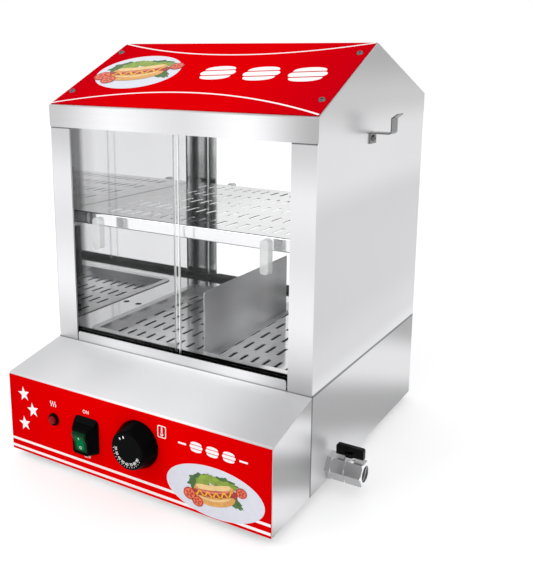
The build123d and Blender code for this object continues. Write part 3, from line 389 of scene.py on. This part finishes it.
def finishes():
    """Every finish by its name."""
    # the stops below are painted reflections and shade: a place in millimetres and a tone
    side = (
        (117, 0.76), (142, 0.66), (200, 0.6), (300, 0.6),
        (345, 0.72), (385, 0.73), (425, 0.56), (475, 0.4),
    )
    band = (ACROSS, ((-180, 0.56), (-80, 0.92), (15, 0.73), (95, 0.95), (180, 0.44)))
    top = (ACROSS, ((-180, 0.66), (-90, 0.84), (-5, 1.0), (60, 1.0), (180, 0.59)))
    post = (UP, ((125, 0.6), (195, 0.8), (270, 0.7), (325, 0.77), (380, 0.6)))
    back = (ACROSS, ((-180, 0.5), (-70, 0.72), (30, 0.6), (110, 0.7), (180, 0.52)))
    slope = (ACROSS, ((-180, 0.56), (-50, 0.7), (60, 0.62), (180, 0.5)))
    pan = (ACROSS, ((-180, 0.5), (-115, 0.56), (-40, 0.86), (50, 1.0), (180, 1.0)))
    # a painted shadow line at the side panels' foot, where the base meets them
    seam_shadow = (UP, 117.5, 1.6, 0.75)
    # each crease in this table is a painted shadow line along a joint, fold or band edge
    made = {
        "side_right": side_sheet("satin_right_painted_light", side, (-1, 0, 0), seam_shadow),
        "side_left": side_sheet("satin_left_painted_light", side, (1, 0, 0), seam_shadow),
        "front": steel("satin_front_painted_light", band, 0.33, "x"),
        "rear": steel("satin_rear_painted_light", back, 0.33, "x", (0, -1, 0), 0.12),
        "housing": steel("satin_housing_painted_light", top, 0.5, "x", crease_shadows=((BACK, -0.6, 1.6, 0.6),), metal=0.2),
        "base_side": steel(
            "base_side_painted_reflections", waves((0, 0.385, 1), 126.0, 39.5, 0.39, 0.8), 0.4, "z", metal=0.6,
            crease_shadows=((UP, 116.5, 1.6, 0.7), (BACK, 0.4, 1.4, 0.7)),
        ),
        "cheek": steel(
            "cheek_painted_reflections", waves((0, 0.48, 1), 82.2, -10.5, 0.38, 0.84), 0.4, "z", metal=0.6,
            crease_shadows=((BACK, -0.6, 1.2, 0.6),),
        ),
        "roof": steel("satin_roof_painted_light", slope, 0.34, "x"),
        # the crease at POST_TOP is the canopy band's painted shadow on the posts
        "posts": steel(
            "satin_posts_painted_light", post, 0.3, "z", (0, 1, 0), 0.1, crease_shadows=((UP, POST_TOP, 1.6, 0.8),)
        ),
        "rear_posts": steel("polished_posts_painted_reflections", painted_post_reflections, 0.12, "z"),
        "deck": steel("polished_deck", 0.74, 0.1, "x", relief=0.05),
        "pan": steel("polished_pan_painted_light", pan, 0.1, "x", relief=0.05, metal=0.6),
        "shelf": steel("polished_shelf_painted_reflections", shelf_reflections, 0.1, "x", relief=0.05),
        # painted shade: the tank's steel is made dark so that the slots above it read as shadow
        "tank": steel("tank_painted_shade", 0.1, 0.35, "x", relief=0.05),
        "divider": steel("satin_divider_painted_light", divider_light_and_shade, 0.42, "y"),
        "bracket": steel("bright_bracket", 0.5, 0.22, "y"),
        "hook": steel("hook_steel", 0.2, 0.3, "y"),
        "screws": steel("dull_zinc", 0.14, 0.3, "x"),
        "sheath": steel("heater_sheath", 0.28, 0.4, "y"),
        "chrome": steel("valve_plate_painted_reflections", facet_reflections, 0.22, "x", relief=0.03, metal=0.8),
        "thread": steel("thread_plate", 0.3, 0.2, "x", relief=0.03),
        "red_panel": lacquer("red_panel", (0.88, 0.0, 0.0, 1), (0.7, 0.0, 0.001, 1)),
        "red_sign": lacquer("red_sign", (0.76, 0.0, 0.002, 1), (0.56, 0.0, 0.006, 1)),
        "black": plastic("gloss_black", (0.0012, 0.0012, 0.0014, 1), 0.24, 0.02, relief=0.05),
        "lever": plastic("lever_black", (0.001, 0.001, 0.001, 1), 0.12, 0.1, relief=0.03),
        "track": plastic("track_black", (0.0025, 0.0025, 0.0025, 1), 0.38, 0.06),
        "charcoal": plastic("dial_face", (0.0075, 0.008, 0.0078, 1), 0.5, 0.0, fine=2500.0),
        "green": plastic("green_rocker", (0.002, 0.045, 0.014, 1), 0.2, 0.04, relief=0.04),
        "green_inner": plastic("green_window", (0.001, 0.22, 0.06, 1), 0.25, 0.0, relief=0.04),
        "red_lens": plastic("red_lens", (0.3, 0.001, 0.004, 1), 0.12, 0.08, relief=0.04),
        "handle": plastic("handle_clear", (0.86, 0.88, 0.87, 1), 0.22, 0.5, Alpha=0.55),
        "rubber": plastic("foot_rubber", (0.02, 0.02, 0.02, 1), 0.75, 0.3, fine=500.0, relief=0.4),
        "phenolic": plastic("pale_body", (0.55, 0.52, 0.45, 1), 0.5),
        "terminal": plastic("terminal_white", (0.7, 0.7, 0.66, 1), 0.45),
        "sleeve": plastic("lead_sleeve", (0.35, 0.02, 0.015, 1), 0.5),
        "copper": steel("bulb_copper", 0.5, 0.3, "y"),
        "glass": door_glass("door_glass"),
        "white": ink("white_print", (0.98, 0.98, 0.97, 1), 0.97),
        "oval": ink("oval_ground", (0.76, 0.79, 0.87, 1), 0.95),
    }
    return made


finish = finishes()
NODE_FINISH = {
    "right_side_panel": "side_right", "left_side_panel": "side_left",
    "canopy_band": "front", "door_sills": "front", "rear_band": "rear",
    "control_housing": "housing", "housing_cheeks": "cheek",
    "base_left_side": "base_side", "base_right_side": "base_side",
    "base_back": "rear", "base_floor": "roof", "base_front": "roof",
    "roof_front": "roof", "roof_rear": "roof",
    "front_posts": "posts", "rear_posts": "rear_posts",
    "deck": "deck", "tray_pan": "pan", "tank_bottom": "tank", "tank_walls": "tank", "shelf": "shelf",
    "shelf_rails": "bracket", "divider": "divider", "tong_hook": "hook",
    "control_panel": "red_panel", "sign_plate": "red_sign",
    "control_knob": "black", "switch_housing": "black", "indicator_bezel": "black",
    "valve_lever": "lever", "cord_gland": "track", "gland_nut": "track",
    "door_tracks": "track", "door_guides": "track",
    "switch_rocker": "green", "indicator_lens": "red_lens",
    "front_left_door": "glass", "front_right_door": "glass",
    "rear_left_door": "glass", "rear_right_door": "glass",
    "front_left_handle": "handle", "front_right_handle": "handle",
    "rear_left_handle": "handle", "rear_right_handle": "handle",
    "valve_body": "chrome", "valve_ball": "chrome", "valve_stem": "chrome",
    "packing_nut": "chrome", "drain_nipple": "chrome", "drain_locknut": "chrome",
    "rubber_feet": "rubber", "pan_screws": "screws", "foot_screws": "screws",
    "element_nuts": "screws", "thermostat_spindle": "screws",
    "heating_element": "sheath", "thermostat_body": "phenolic", "thermostat_bulb": "copper",
    "terminal_block": "terminal", "wiring": "sleeve",
}
for node_name, node in nodes.items():
    node.data.materials.clear()
    node.data.materials.append(finish[NODE_FINISH[node_name]])

# ---------------------------------------------------------------- printed shapes
# One print's thickness, and the share of it by which overlapping outlines of a piece are raised.
PRINT = 0.06
STAGGER = 0.25


class Print:
    """Thin raised shapes of one colour on a flat face, gathered into one piece."""

    def __init__(self, face, layer=1):
        self.face = face
        self.floor = (layer - 1) * PRINT
        self.mesh = bmesh.new()

    def _corner(self, point, height):
        return self.mesh.verts.new(self.face @ Vector((point[0] * MM, point[1] * MM, height * MM)))

    def shape(self, outline):
        """A filled outline, given in millimetres."""
        low = [self._corner(point, self.floor) for point in outline]
        high = [self._corner(point, self.floor + PRINT) for point in outline]
        self.mesh.faces.new(high)
        self.mesh.faces.new(low[::-1])
        for i in range(len(outline)):
            j = (i + 1) % len(outline)
            self.mesh.faces.new((low[i], low[j], high[j], high[i]))

    def ring(self, outer, inner):
        """The band between two outlines with as many points."""
        rows = []
        for height in (self.floor, self.floor + PRINT):
            rows.append([self._corner(p, height) for p in outer])
            rows.append([self._corner(p, height) for p in inner])
        low_out, low_in, high_out, high_in = rows
        for i in range(len(outer)):
            j = (i + 1) % len(outer)
            self.mesh.faces.new((high_out[i], high_out[j], high_in[j], high_in[i]))
            self.mesh.faces.new((low_out[j], low_out[i], low_in[i], low_in[j]))
            self.mesh.faces.new((low_out[i], low_out[j], high_out[j], high_out[i]))
            self.mesh.faces.new((low_in[j], low_in[i], high_in[i], high_in[j]))

    def words(self, text, across, up, size, turn=0.0):
        """Plain figures or letters, centred on a point."""
        curve = bpy.data.curves.new("words", "FONT")
        curve.body = text
        curve.size = size
        curve.align_x = "CENTER"
        curve.align_y = "CENTER"
        curve.extrude = PRINT / 2
        curve.offset = size * 0.012
        holder = bpy.data.objects.new("words", curve)
        bpy.context.scene.collection.objects.link(holder)
        bpy.context.view_layer.update()
        letters = bpy.data.meshes.new_from_object(holder)
        place_at = Matrix.Translation((across * MM, up * MM, (self.floor + PRINT / 2) * MM))
        letters.transform(
            self.face @ place_at @ Matrix.Rotation(turn, 4, "Z") @ Matrix.Scale(MM, 4)
        )
        self.mesh.from_mesh(letters)
        bpy.data.objects.remove(holder)
        bpy.data.curves.remove(curve)
        bpy.data.meshes.remove(letters)

    def done(self, name, material, body="root"):
        """The finished piece, riding on a body."""
        mesh = bpy.data.meshes.new(name)
        bmesh.ops.recalc_face_normals(self.mesh, faces=self.mesh.faces)
        self.mesh.to_mesh(mesh)
        self.mesh.free()
        piece = bpy.data.objects.new(name, mesh)
        bpy.context.scene.collection.objects.link(piece)
        mesh.materials.append(material)
        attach(piece, body)


def moved(points, across, up, turn=0.0):
    """Points turned about the origin, then shifted."""
    return [
        (
            across + x * math.cos(turn) - y * math.sin(turn),
            up + x * math.sin(turn) + y * math.cos(turn),
        )
        for x, y in points
    ]


def oval(across, up, half_width, half_height, count=72, turn=0.0):
    """An ellipse as points."""
    points = []
    for step in range(count):
        angle = math.tau * step / count
        points.append((half_width * math.cos(angle), half_height * math.sin(angle)))
    return moved(points, across, up, turn)


def block(left, right, low, high):
    """A rectangle by its edges."""
    return [(left, low), (right, low), (right, high), (left, high)]


def rounded(across, up, half_width, half_height, radius, count=6):
    """A rectangle with round corners."""
    points = []
    for quarter, (right, high) in enumerate(((1, 1), (-1, 1), (-1, -1), (1, -1))):
        for step in range(count + 1):
            angle = math.pi / 2 * (quarter + step / count)
            points.append((
                across + right * (half_width - radius) + radius * math.cos(angle),
                up + high * (half_height - radius) + radius * math.sin(angle),
            ))
    return points


def star(across, up, radius, turn=0.0):
    """A five-pointed star."""
    points = []
    for step in range(10):
        reach = radius if step % 2 == 0 else radius * 0.42
        angle = math.pi / 2 + turn + step * math.pi / 5
        points.append((across + reach * math.cos(angle), up + reach * math.sin(angle)))
    return points


def capsule(across, up, length, width, turn=0.0, count=12):
    """A bar with round ends."""
    points = []
    half = (length - width) / 2
    for end in (1, -1):
        for step in range(count + 1):
            angle = -math.pi / 2 + math.pi * step / count + (0 if end > 0 else math.pi)
            points.append((end * half + width / 2 * math.cos(angle), width / 2 * math.sin(angle)))
    return moved(points, across, up, turn)


def ribbon(middle, width):
    """A line of even width along points."""
    left, right = [], []
    for i, point in enumerate(middle):
        before = middle[max(i - 1, 0)]
        after = middle[min(i + 1, len(middle) - 1)]
        dx, dy = after[0] - before[0], after[1] - before[1]
        size = math.hypot(dx, dy)
        nx, ny = -dy / size * width / 2, dx / size * width / 2
        left.append((point[0] + nx, point[1] + ny))
        right.append((point[0] - nx, point[1] - ny))
    return left + right[::-1]


def dog_icon(printed, across, up, length, turn=0.0):
    """A plain pictogram: a sausage between two halves of a bun."""
    height = length * 0.22
    parts = [capsule(0, 0, length, height)]
    for hand in (1, -1):
        bun = []
        for step in range(25):
            angle = math.pi * step / 24
            flat = math.sin(angle) ** 0.7 * length * 0.2
            bun.append((length * 0.43 * math.cos(angle), hand * (height * 0.72 + flat)))
        parts.append(bun)
    for part in parts:
        printed.shape(moved(part, across, up, turn))


# ---------------------------------------------------------------- control panel's print
PANEL_EDGE = 179.4
OVAL_PLACE = (112.5, 29.5)
OVAL_SIZE = (60.0, 28.4)
STRIPES = ((3.3, 6.5), (12.9, 16.0))
STAR_PLACES = ((-156.7, 75.0), (-143.1, 57.6), (-157.5, 37.4))
STAR_RADIUS = 9.4
STAR_TURN = 0.16
SWITCH_WORDS = (("ON", -59.6, 75.8), ("OFF", -59.4, 21.8))
WORD_SIZE = 5.8
HEAT_PLACE = (-109.7, 70.6)
HEAT_WAVE_GAP = 3.4
HEAT_WAVE_SWING = 0.8
HEAT_WAVE_HEIGHT = 6.4
HEAT_WAVE_WIDTH = 1.1
GAUGE_PLACE = (46.7, 80.1)
GAUGE_OUTSIDE = (5.7, 7.0, 2.0)
GAUGE_INSIDE = (4.6, 5.9, 1.2)
GAUGE_TUBE = (8.4, 1.8)
GAUGE_TUBE_UP = 1.1
GAUGE_BULB_DOWN = 3.2
GAUGE_BULB = 1.9
DASHES = ((68.0, 78.0), (142.8, 152.6))
DASH_HEIGHTS = (73.2, 75.2)
ICONS_ACROSS = (90.5, 110.4, 130.3)
ICONS_UP = 74.4
ICON_LENGTH = 16.0


def heat_mark(printed):
    """Three rising waves over the lamp."""
    steps = [i / 16 for i in range(17)]
    for wave in (-1, 0, 1):
        across = HEAT_PLACE[0] + wave * HEAT_WAVE_GAP
        middle = [
            (across + HEAT_WAVE_SWING * math.sin(math.tau * s), HEAT_PLACE[1] + HEAT_WAVE_HEIGHT * s)
            for s in steps
        ]
        printed.shape(ribbon(middle, HEAT_WAVE_WIDTH))


def gauge_mark(printed):
    """A thermometer in a frame, beside the knob."""
    across, up = GAUGE_PLACE
    printed.ring(rounded(across, up, *GAUGE_OUTSIDE), rounded(across, up, *GAUGE_INSIDE))
    printed.shape(capsule(across, up + GAUGE_TUBE_UP, *GAUGE_TUBE, math.pi / 2))
    printed.shape(oval(across, up - GAUGE_BULB_DOWN, GAUGE_BULB, GAUGE_BULB, 24))


marks = Print(panel_face)
for low, high in STRIPES:
    marks.shape(block(-PANEL_EDGE, PANEL_EDGE, low, high))
for across, up in STAR_PLACES:
    marks.shape(star(across, up, STAR_RADIUS, STAR_TURN))
for word, across, up in SWITCH_WORDS:
    marks.words(word, across, up, WORD_SIZE)
heat_mark(marks)
gauge_mark(marks)
for left, right in DASHES:
    marks.shape(block(left, right, *DASH_HEIGHTS))
for across in ICONS_ACROSS:
    dog_icon(marks, across, ICONS_UP, ICON_LENGTH)
marks.done("panel_print", finish["white"])

# ---------------------------------------------------------------- sign's print
SIGN_EDGE = 178.2
SIGN_OVAL_PLACE = (-105.0, 85.0)
SIGN_OVAL_SIZE = (60.5, 43.0)
SIGN_LINES = ((163.0, 132.0), (3.2, 38.0))
SIGN_LINE_WIDTH = 2.4
SIGN_ICONS_ACROSS = (12.0, 70.0, 128.0)
SIGN_ICONS_UP = 86.0
SIGN_ICON_LENGTH = 46.0
SIGN_ICON_TURN = 0.1


def sweep_line(end_up, middle_up, width, count=48):
    """A shallow curve from one end of the sign to the other."""
    points = []
    for step in range(count + 1):
        share = 2 * step / count - 1
        points.append((share * SIGN_EDGE, middle_up + (end_up - middle_up) * share * share))
    return ribbon(points, width)


marks = Print(sign_face)
for end_up, middle_up in SIGN_LINES:
    marks.shape(sweep_line(end_up, middle_up, SIGN_LINE_WIDTH))
for across in SIGN_ICONS_ACROSS:
    dog_icon(marks, across, SIGN_ICONS_UP, SIGN_ICON_LENGTH, SIGN_ICON_TURN)
marks.done("sign_print", finish["white"])


# ---------------------------------------------------------------- pictures in the ovals
def leaf(across, up, size, turn, ruffle=0.09, lobes=9):
    """A leaf with a ruffled edge."""
    points = []
    for step in range(90):
        angle = math.tau * step / 90
        reach = size * (1 + ruffle * math.sin(lobes * angle) + 0.05 * math.sin(17 * angle + 1))
        y = reach * 0.5 * math.sin(angle) * (1 - 0.35 * math.cos(angle))
        points.append((reach * math.cos(angle), y))
    return moved(points, across, up, turn)


def bent(length, width, sag, turn, across, up, count=28, taper=0.25):
    """A plump bar that sags in its middle, with round ends."""
    top, bottom = [], []
    for step in range(count + 1):
        share = 2 * step / count - 1
        half = width / 2 * max(0.0, 1 - abs(share) ** 5) ** 0.5 * (1 - taper * share * share * 0.4)
        x = share * length / 2
        y = -sag * (1 - share * share)
        top.append((x, y + half))
        bottom.append((x, y - half))
    return moved(top + bottom[-2:0:-1], across, up, turn)


INKS = {
    "leaf_dark": ink("leaf_dark", (0.06, 0.17, 0.03, 1), 0.6),
    "leaf_light": ink("leaf_light", (0.3, 0.45, 0.04, 1), 0.6),
    "bun": ink("bun_print", (0.85, 0.42, 0.1, 1), 0.75),
    "bun_light": ink("bun_light", (0.95, 0.66, 0.28, 1), 0.85),
    "sausage": ink("sausage_print", (0.5, 0.035, 0.02, 1), 0.6),
    "sausage_light": ink("sausage_light", (0.85, 0.22, 0.13, 1), 0.8),
    "mustard": ink("mustard_print", (0.95, 0.5, 0.02, 1), 0.85),
    "tomato": ink("tomato_print", (0.62, 0.02, 0.01, 1), 0.7),
    "tomato_light": ink("tomato_light", (0.9, 0.2, 0.08, 1), 0.8),
}
DOG_TURN = 0.22
MUSTARD_REACH = 24.0
MUSTARD_SWING = 2.5
MUSTARD_WIDTH = 1.7
SLICES = ((-30, -9, 8.0), (-20, -15, 7.0), (33, 10, 6.4))


def mustard_line(count=80):
    """The mustard's zigzag along the sausage."""
    points = []
    for step in range(count + 1):
        share = 2 * step / count - 1
        y = 0.6 - 3.0 * (1 - share * share) + MUSTARD_SWING * math.sin(share * 15)
        points.append((share * MUSTARD_REACH, y))
    return ribbon(moved(points, 0, 0, DOG_TURN), MUSTARD_WIDTH)


def picture(name, face, centre, half_width, half_height):
    """A hot dog in its bun with leaves and tomato slices, on a pale oval."""
    unit = half_height / OVAL_SIZE[1]

    def at(points):
        return [(centre[0] + x * unit, centre[1] + y * unit) for x, y in points]

    ground = Print(face, 2)
    ground.shape(oval(centre[0], centre[1], half_width, half_height, 96))
    ground.done(f"{name}_ground", finish["oval"])
    layers = (
        (3, "leaf_dark", [leaf(-16, 9, 17, 0.5), leaf(14, 13, 15, 0.1), leaf(24, -2, 12, -0.5)]),
        (4, "leaf_light", [leaf(-12, 11, 12, 0.7), leaf(17, 12, 11, 0.2), leaf(1, 14, 9, 0)]),
        (5, "bun", [bent(52, 19, 3, DOG_TURN, 0, 2)]),
        (6, "bun_light", [bent(44, 7, 3, DOG_TURN, -1.2, 7.6)]),
        (7, "sausage", [bent(60, 11, 3.5, DOG_TURN, 0.2, 0.6)]),
        (8, "sausage_light", [bent(44, 2.2, 3.0, DOG_TURN, -0.8, 3.4)]),
        (9, "bun", [bent(50, 10, 4.4, DOG_TURN, 1.8, -5.2)]),
        (10, "bun_light", [bent(40, 2.4, 4.0, DOG_TURN, 1.6, -4.0)]),
    )
    for layer, colour, outlines in layers:
        part = Print(face, layer)
        for i, outline in enumerate(outlines):
            part.floor = (layer - 1 + i * STAGGER) * PRINT
            part.shape(at(outline))
        part.done(f"{name}_{colour}_{layer}", INKS[colour])
    part = Print(face, 9)
    part.shape(at(mustard_line()))
    part.done(f"{name}_mustard", INKS["mustard"])
    for layer, colour, share in ((5, "tomato", 1.0), (6, "tomato_light", 0.8)):
        part = Print(face, layer + 6)
        for x, y, radius in SLICES:
            part.shape(at(oval(x, y, radius * share, radius * 0.86 * share, 40)))
        part.done(f"{name}_{colour}", INKS[colour])
    part = Print(face, 13)
    for x, y, radius in SLICES:
        for spoke in range(5):
            angle = math.tau * spoke / 5 + x
            cx = x + radius * 0.42 * math.cos(angle)
            cy = y + radius * 0.36 * math.sin(angle)
            part.shape(at(oval(cx, cy, radius * 0.24, radius * 0.15, 16, angle)))
    part.done(f"{name}_tomato_cells", INKS["tomato"])


picture("panel_picture", panel_face, OVAL_PLACE, *OVAL_SIZE)
picture("sign_picture", sign_face, SIGN_OVAL_PLACE, *SIGN_OVAL_SIZE)

# ---------------------------------------------------------------- dial
knob_low, knob_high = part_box("control_knob")
dial_face = surface(
    Vector(((knob_low.x + knob_high.x) / 2, knob_low.y, (knob_low.z + knob_high.z) / 2)),
    (1, 0, 0), (0, 0, 1),
)
DIAL_RADIUS = 19.3
NUMERAL_RADIUS = 15.3
NUMERAL_SIZE = 4.4
NUMERALS = [str(20 + 10 * step) for step in range(8)]
FIRST_ANGLE = math.radians(182)
NUMERAL_STEP = math.radians(21.5)
TICK_END = 19.1
LONG_TICK_START = 17.5
SHORT_TICK_START = 18.2
TICK_WIDTH = 0.6
OFF_DOTS = ((108, 0.9), (128, 0.8))


def on_dial(radius, angle):
    """A point of the dial."""
    return radius * math.cos(angle), radius * math.sin(angle)


face_plate = Print(dial_face)
face_plate.shape(oval(0, 0, DIAL_RADIUS, DIAL_RADIUS, 96))
face_plate.done("dial_plate", finish["charcoal"], "knob")

scale = Print(dial_face, 2)
for step, numeral in enumerate(NUMERALS):
    angle = FIRST_ANGLE + step * NUMERAL_STEP
    scale.words(numeral, *on_dial(NUMERAL_RADIUS, angle), NUMERAL_SIZE, angle + math.pi / 2)
for step in range(2 * len(NUMERALS) - 1):
    angle = FIRST_ANGLE + step * NUMERAL_STEP / 2
    start = LONG_TICK_START if step % 2 == 0 else SHORT_TICK_START
    scale.shape(ribbon([on_dial(start, angle), on_dial(TICK_END, angle)], TICK_WIDTH))
for degrees, radius in OFF_DOTS:
    angle = math.radians(degrees)
    scale.shape(oval(*on_dial(NUMERAL_RADIUS, angle), radius * 1.8, radius, 20, angle))
scale.done("dial_scale", finish["white"], "knob")

# ---------------------------------------------------------------- rocker's windows
rocker = next(joint for joint in frame["joints"] if joint["name"] == "rocker_tip")
ROCKER_LEAN = math.radians(13.816)
ROCKER_EDGE = 5.2
ROCKER_VALLEY = 3.6
ROCKER_RADIUS = 12.4
WINDOW_HALF_WIDTH = 5.6
WINDOW_REACH = 2.9
WINDOW_CORNER = 3.4
BAR_HALF_WIDTH = 0.45
BAR_HALF_HEIGHT = 1.6
RING_OUTSIDE = (1.6, 1.9)
RING_INSIDE = (1.0, 1.3)
MARK_POINTS = 32


def window_outline(hand, half_slope):
    """A window from the rocker's valley outward, with round outer corners."""
    edge = [(WINDOW_HALF_WIDTH, -hand * half_slope)]
    edge.append((WINDOW_HALF_WIDTH, hand * (WINDOW_REACH - WINDOW_CORNER)))
    for step in range(1, 9):
        angle = math.pi / 2 * step / 8
        edge.append((
            WINDOW_HALF_WIDTH - WINDOW_CORNER + WINDOW_CORNER * math.cos(angle),
            hand * (WINDOW_REACH - WINDOW_CORNER + WINDOW_CORNER * math.sin(angle)),
        ))
    return edge + [(-x, y) for x, y in reversed(edge)]


out = Vector((0, -math.cos(ROCKER_LEAN), -math.sin(ROCKER_LEAN)))
up = Vector((0, -math.sin(ROCKER_LEAN), math.cos(ROCKER_LEAN)))
pivot = Vector(rocker["pos_m"])
for hand, label in ((1, "I"), (-1, "O")):
    valley = pivot + out * ROCKER_VALLEY * MM
    rim = pivot + (out * ROCKER_EDGE + up * hand * ROCKER_RADIUS) * MM
    slope = (rim - valley) * hand
    face = surface((valley + rim) / 2, (1, 0, 0), slope)
    outline = window_outline(hand, slope.length / MM / 2)
    window = Print(face)
    window.shape(outline if hand > 0 else outline[::-1])
    window.done(f"rocker_window_{label}", finish["green_inner"], "rocker")
    sign = Print(face, 2)
    if label == "I":
        sign.shape(block(-BAR_HALF_WIDTH, BAR_HALF_WIDTH, -BAR_HALF_HEIGHT, BAR_HALF_HEIGHT))
    else:
        sign.ring(oval(0, 0, *RING_OUTSIDE, MARK_POINTS), oval(0, 0, *RING_INSIDE, MARK_POINTS))
    sign.done(f"rocker_mark_{label}", finish["white"], "rocker")

# ---------------------------------------------------------------- thread in the drain's outlet
OUTLET_RADIUS = 9.25
THREAD_PITCH = 1.8
THREAD_DEPTH = 1.0
THREAD_TURNS = 6
STEPS_PER_TURN = 48
THREAD_START = 0.8
THREAD_FILL = 0.9
DRAIN_PLACE = (0, 50, 16)


def thread_profile():
    """The crest and its two feet: shifts in pitches and radii in millimetres."""
    crest = OUTLET_RADIUS - THREAD_DEPTH
    return ((0.0, OUTLET_RADIUS), (-0.5, crest), (-1.0, OUTLET_RADIUS))


def outlet_thread():
    """A triangular thread inside the drain's outlet, as one closed helix."""
    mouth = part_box("valve_body")[1].x
    axis = place(*DRAIN_PLACE)
    thread = bmesh.new()
    rows = []
    for step in range(THREAD_TURNS * STEPS_PER_TURN + 1):
        angle = math.tau * step / STEPS_PER_TURN
        start = mouth - THREAD_START * MM - THREAD_PITCH * MM * step / STEPS_PER_TURN
        row = []
        for shift, radius in thread_profile():
            row.append(thread.verts.new((
                start + shift * THREAD_PITCH * THREAD_FILL * MM,
                axis.y + radius * MM * math.cos(angle),
                axis.z + radius * MM * math.sin(angle),
            )))
        rows.append(row)
    for before, after in zip(rows, rows[1:]):
        for i in range(3):
            j = (i + 1) % 3
            thread.faces.new((before[i], before[j], after[j], after[i]))
    thread.faces.new(rows[0])
    thread.faces.new(rows[-1][::-1])
    bmesh.ops.recalc_face_normals(thread, faces=thread.faces)
    mesh = bpy.data.meshes.new("outlet_thread")
    thread.to_mesh(mesh)
    thread.free()
    mesh.materials.append(finish["thread"])
    piece = bpy.data.objects.new("outlet_thread", mesh)
    bpy.context.scene.collection.objects.link(piece)
    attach(piece, "root")


outlet_thread()


# ---------------------------------------------------------------- stage, light and camera
FLOOR_RADIUS = 6.0
FLOOR_POINTS = 96
FLOOR_GLOW = 0.3
AMBIENT = (0.86, 0.86, 0.87, 1)
WHITE = (1, 1, 1, 1)


def stage_floor():
    """A pale round floor, seen as white by the camera outside the shadows."""
    mesh = bpy.data.meshes.new("floor")
    turns = [math.tau * i / FLOOR_POINTS for i in range(FLOOR_POINTS)]
    points = [(FLOOR_RADIUS * math.cos(turn), FLOOR_RADIUS * math.sin(turn), 0) for turn in turns]
    mesh.from_pydata(points, [], [list(range(FLOOR_POINTS))])
    floor = bpy.data.objects.new("floor", mesh)
    bpy.context.scene.collection.objects.link(floor)
    made = Shader("floor_paint", Roughness=0.9)
    made.set(made.base, "Base Color", (0.86, 0.86, 0.86, 1))
    made.set(made.base, "Specular IOR Level", 0.0)
    path = made.add("ShaderNodeLightPath").outputs
    seen = made.math("MAXIMUM", path["Is Camera Ray"], path["Is Glossy Ray"])
    seen = made.math("MAXIMUM", seen, path["Is Transmission Ray"])
    made.set(made.base, "Emission Color", WHITE)
    made.set(made.base, "Emission Strength", made.math("MULTIPLY", seen, FLOOR_GLOW))
    mesh.materials.append(made.material)


def studio_world():
    """White to the camera, in reflections and through glass; plain soft light otherwise."""
    world = bpy.data.worlds.new("studio")
    bpy.context.scene.world = world
    world.use_nodes = True
    tree = world.node_tree
    tree.nodes.clear()
    output = tree.nodes.new("ShaderNodeOutputWorld")
    background = tree.nodes.new("ShaderNodeBackground")
    path = tree.nodes.new("ShaderNodeLightPath")
    seen = path.outputs["Is Camera Ray"]
    for kind in ("Is Glossy Ray", "Is Transmission Ray"):
        either = tree.nodes.new("ShaderNodeMath")
        either.operation = "MAXIMUM"
        tree.links.new(seen, either.inputs[0])
        tree.links.new(path.outputs[kind], either.inputs[1])
        seen = either.outputs[0]
    colour = tree.nodes.new("ShaderNodeMix")
    colour.data_type = "RGBA"
    colour.inputs[6].default_value = AMBIENT
    colour.inputs[7].default_value = WHITE
    tree.links.new(seen, colour.inputs[0])
    tree.links.new(colour.outputs[2], background.inputs["Color"])
    tree.links.new(background.outputs["Background"], output.inputs["Surface"])


def lamp(name, position, target, size, power):
    """A square soft lamp aimed at a point."""
    light = bpy.data.lights.new(name, "AREA")
    light.size = size
    light.energy = power
    holder = bpy.data.objects.new(name, light)
    bpy.context.scene.collection.objects.link(holder)
    holder.location = position
    aim = Vector(target) - Vector(position)
    holder.rotation_euler = aim.to_track_quat("-Z", "Y").to_euler()


# The camera: focal length and shift in pixels of the photograph, distance and aim in millimetres.
IMAGE_HEIGHT = 586.0
FOCAL = 755.518
TURN = math.radians(29.552)
RISE = math.radians(11.78)
ROLL = math.radians(0.642)
DISTANCE = 946.887
AIM = (0, 100, 220)
AIM_RIGHT = 57.42
AIM_UP = 45.731
SHIFT = -70.0


def photo_camera():
    """The camera at the photograph's angle and distance."""
    back = Vector((math.sin(TURN) * math.cos(RISE), -math.cos(TURN) * math.cos(RISE), math.sin(RISE)))
    right = Vector((math.cos(TURN), math.sin(TURN), 0))
    upward = back.cross(right)
    rolled_right = right * math.cos(ROLL) + upward * math.sin(ROLL)
    rolled_up = upward * math.cos(ROLL) - right * math.sin(ROLL)
    aim = place(*AIM) + (rolled_right * AIM_RIGHT + rolled_up * AIM_UP) * MM
    lens = bpy.data.cameras.new("photo_camera")
    lens.sensor_width = 36.0
    lens.lens = FOCAL / IMAGE_HEIGHT * lens.sensor_width
    lens.shift_y = SHIFT / IMAGE_HEIGHT
    lens.clip_start = 0.02
    camera = bpy.data.objects.new("photo_camera", lens)
    bpy.context.scene.collection.objects.link(camera)
    turned = Matrix((rolled_right, rolled_up, back)).transposed().to_4x4()
    camera.matrix_world = Matrix.Translation(aim + back * DISTANCE * MM) @ turned
    bpy.context.scene.camera = camera


# Each lamp's name, place, aim and width in metres, and its power in watts.
LAMPS = (
    ("key", (-1.3, -1.6, 2.0), (0, 0, 0.2), 1.3, 12.0),
    ("fill", (1.8, -1.2, 1.4), (0, 0, 0.25), 1.4, 5.0),
)

stage_floor()
studio_world()
for settings in LAMPS:
    lamp(*settings)
photo_camera()
bpy.context.scene.view_settings.view_transform = "Standard"
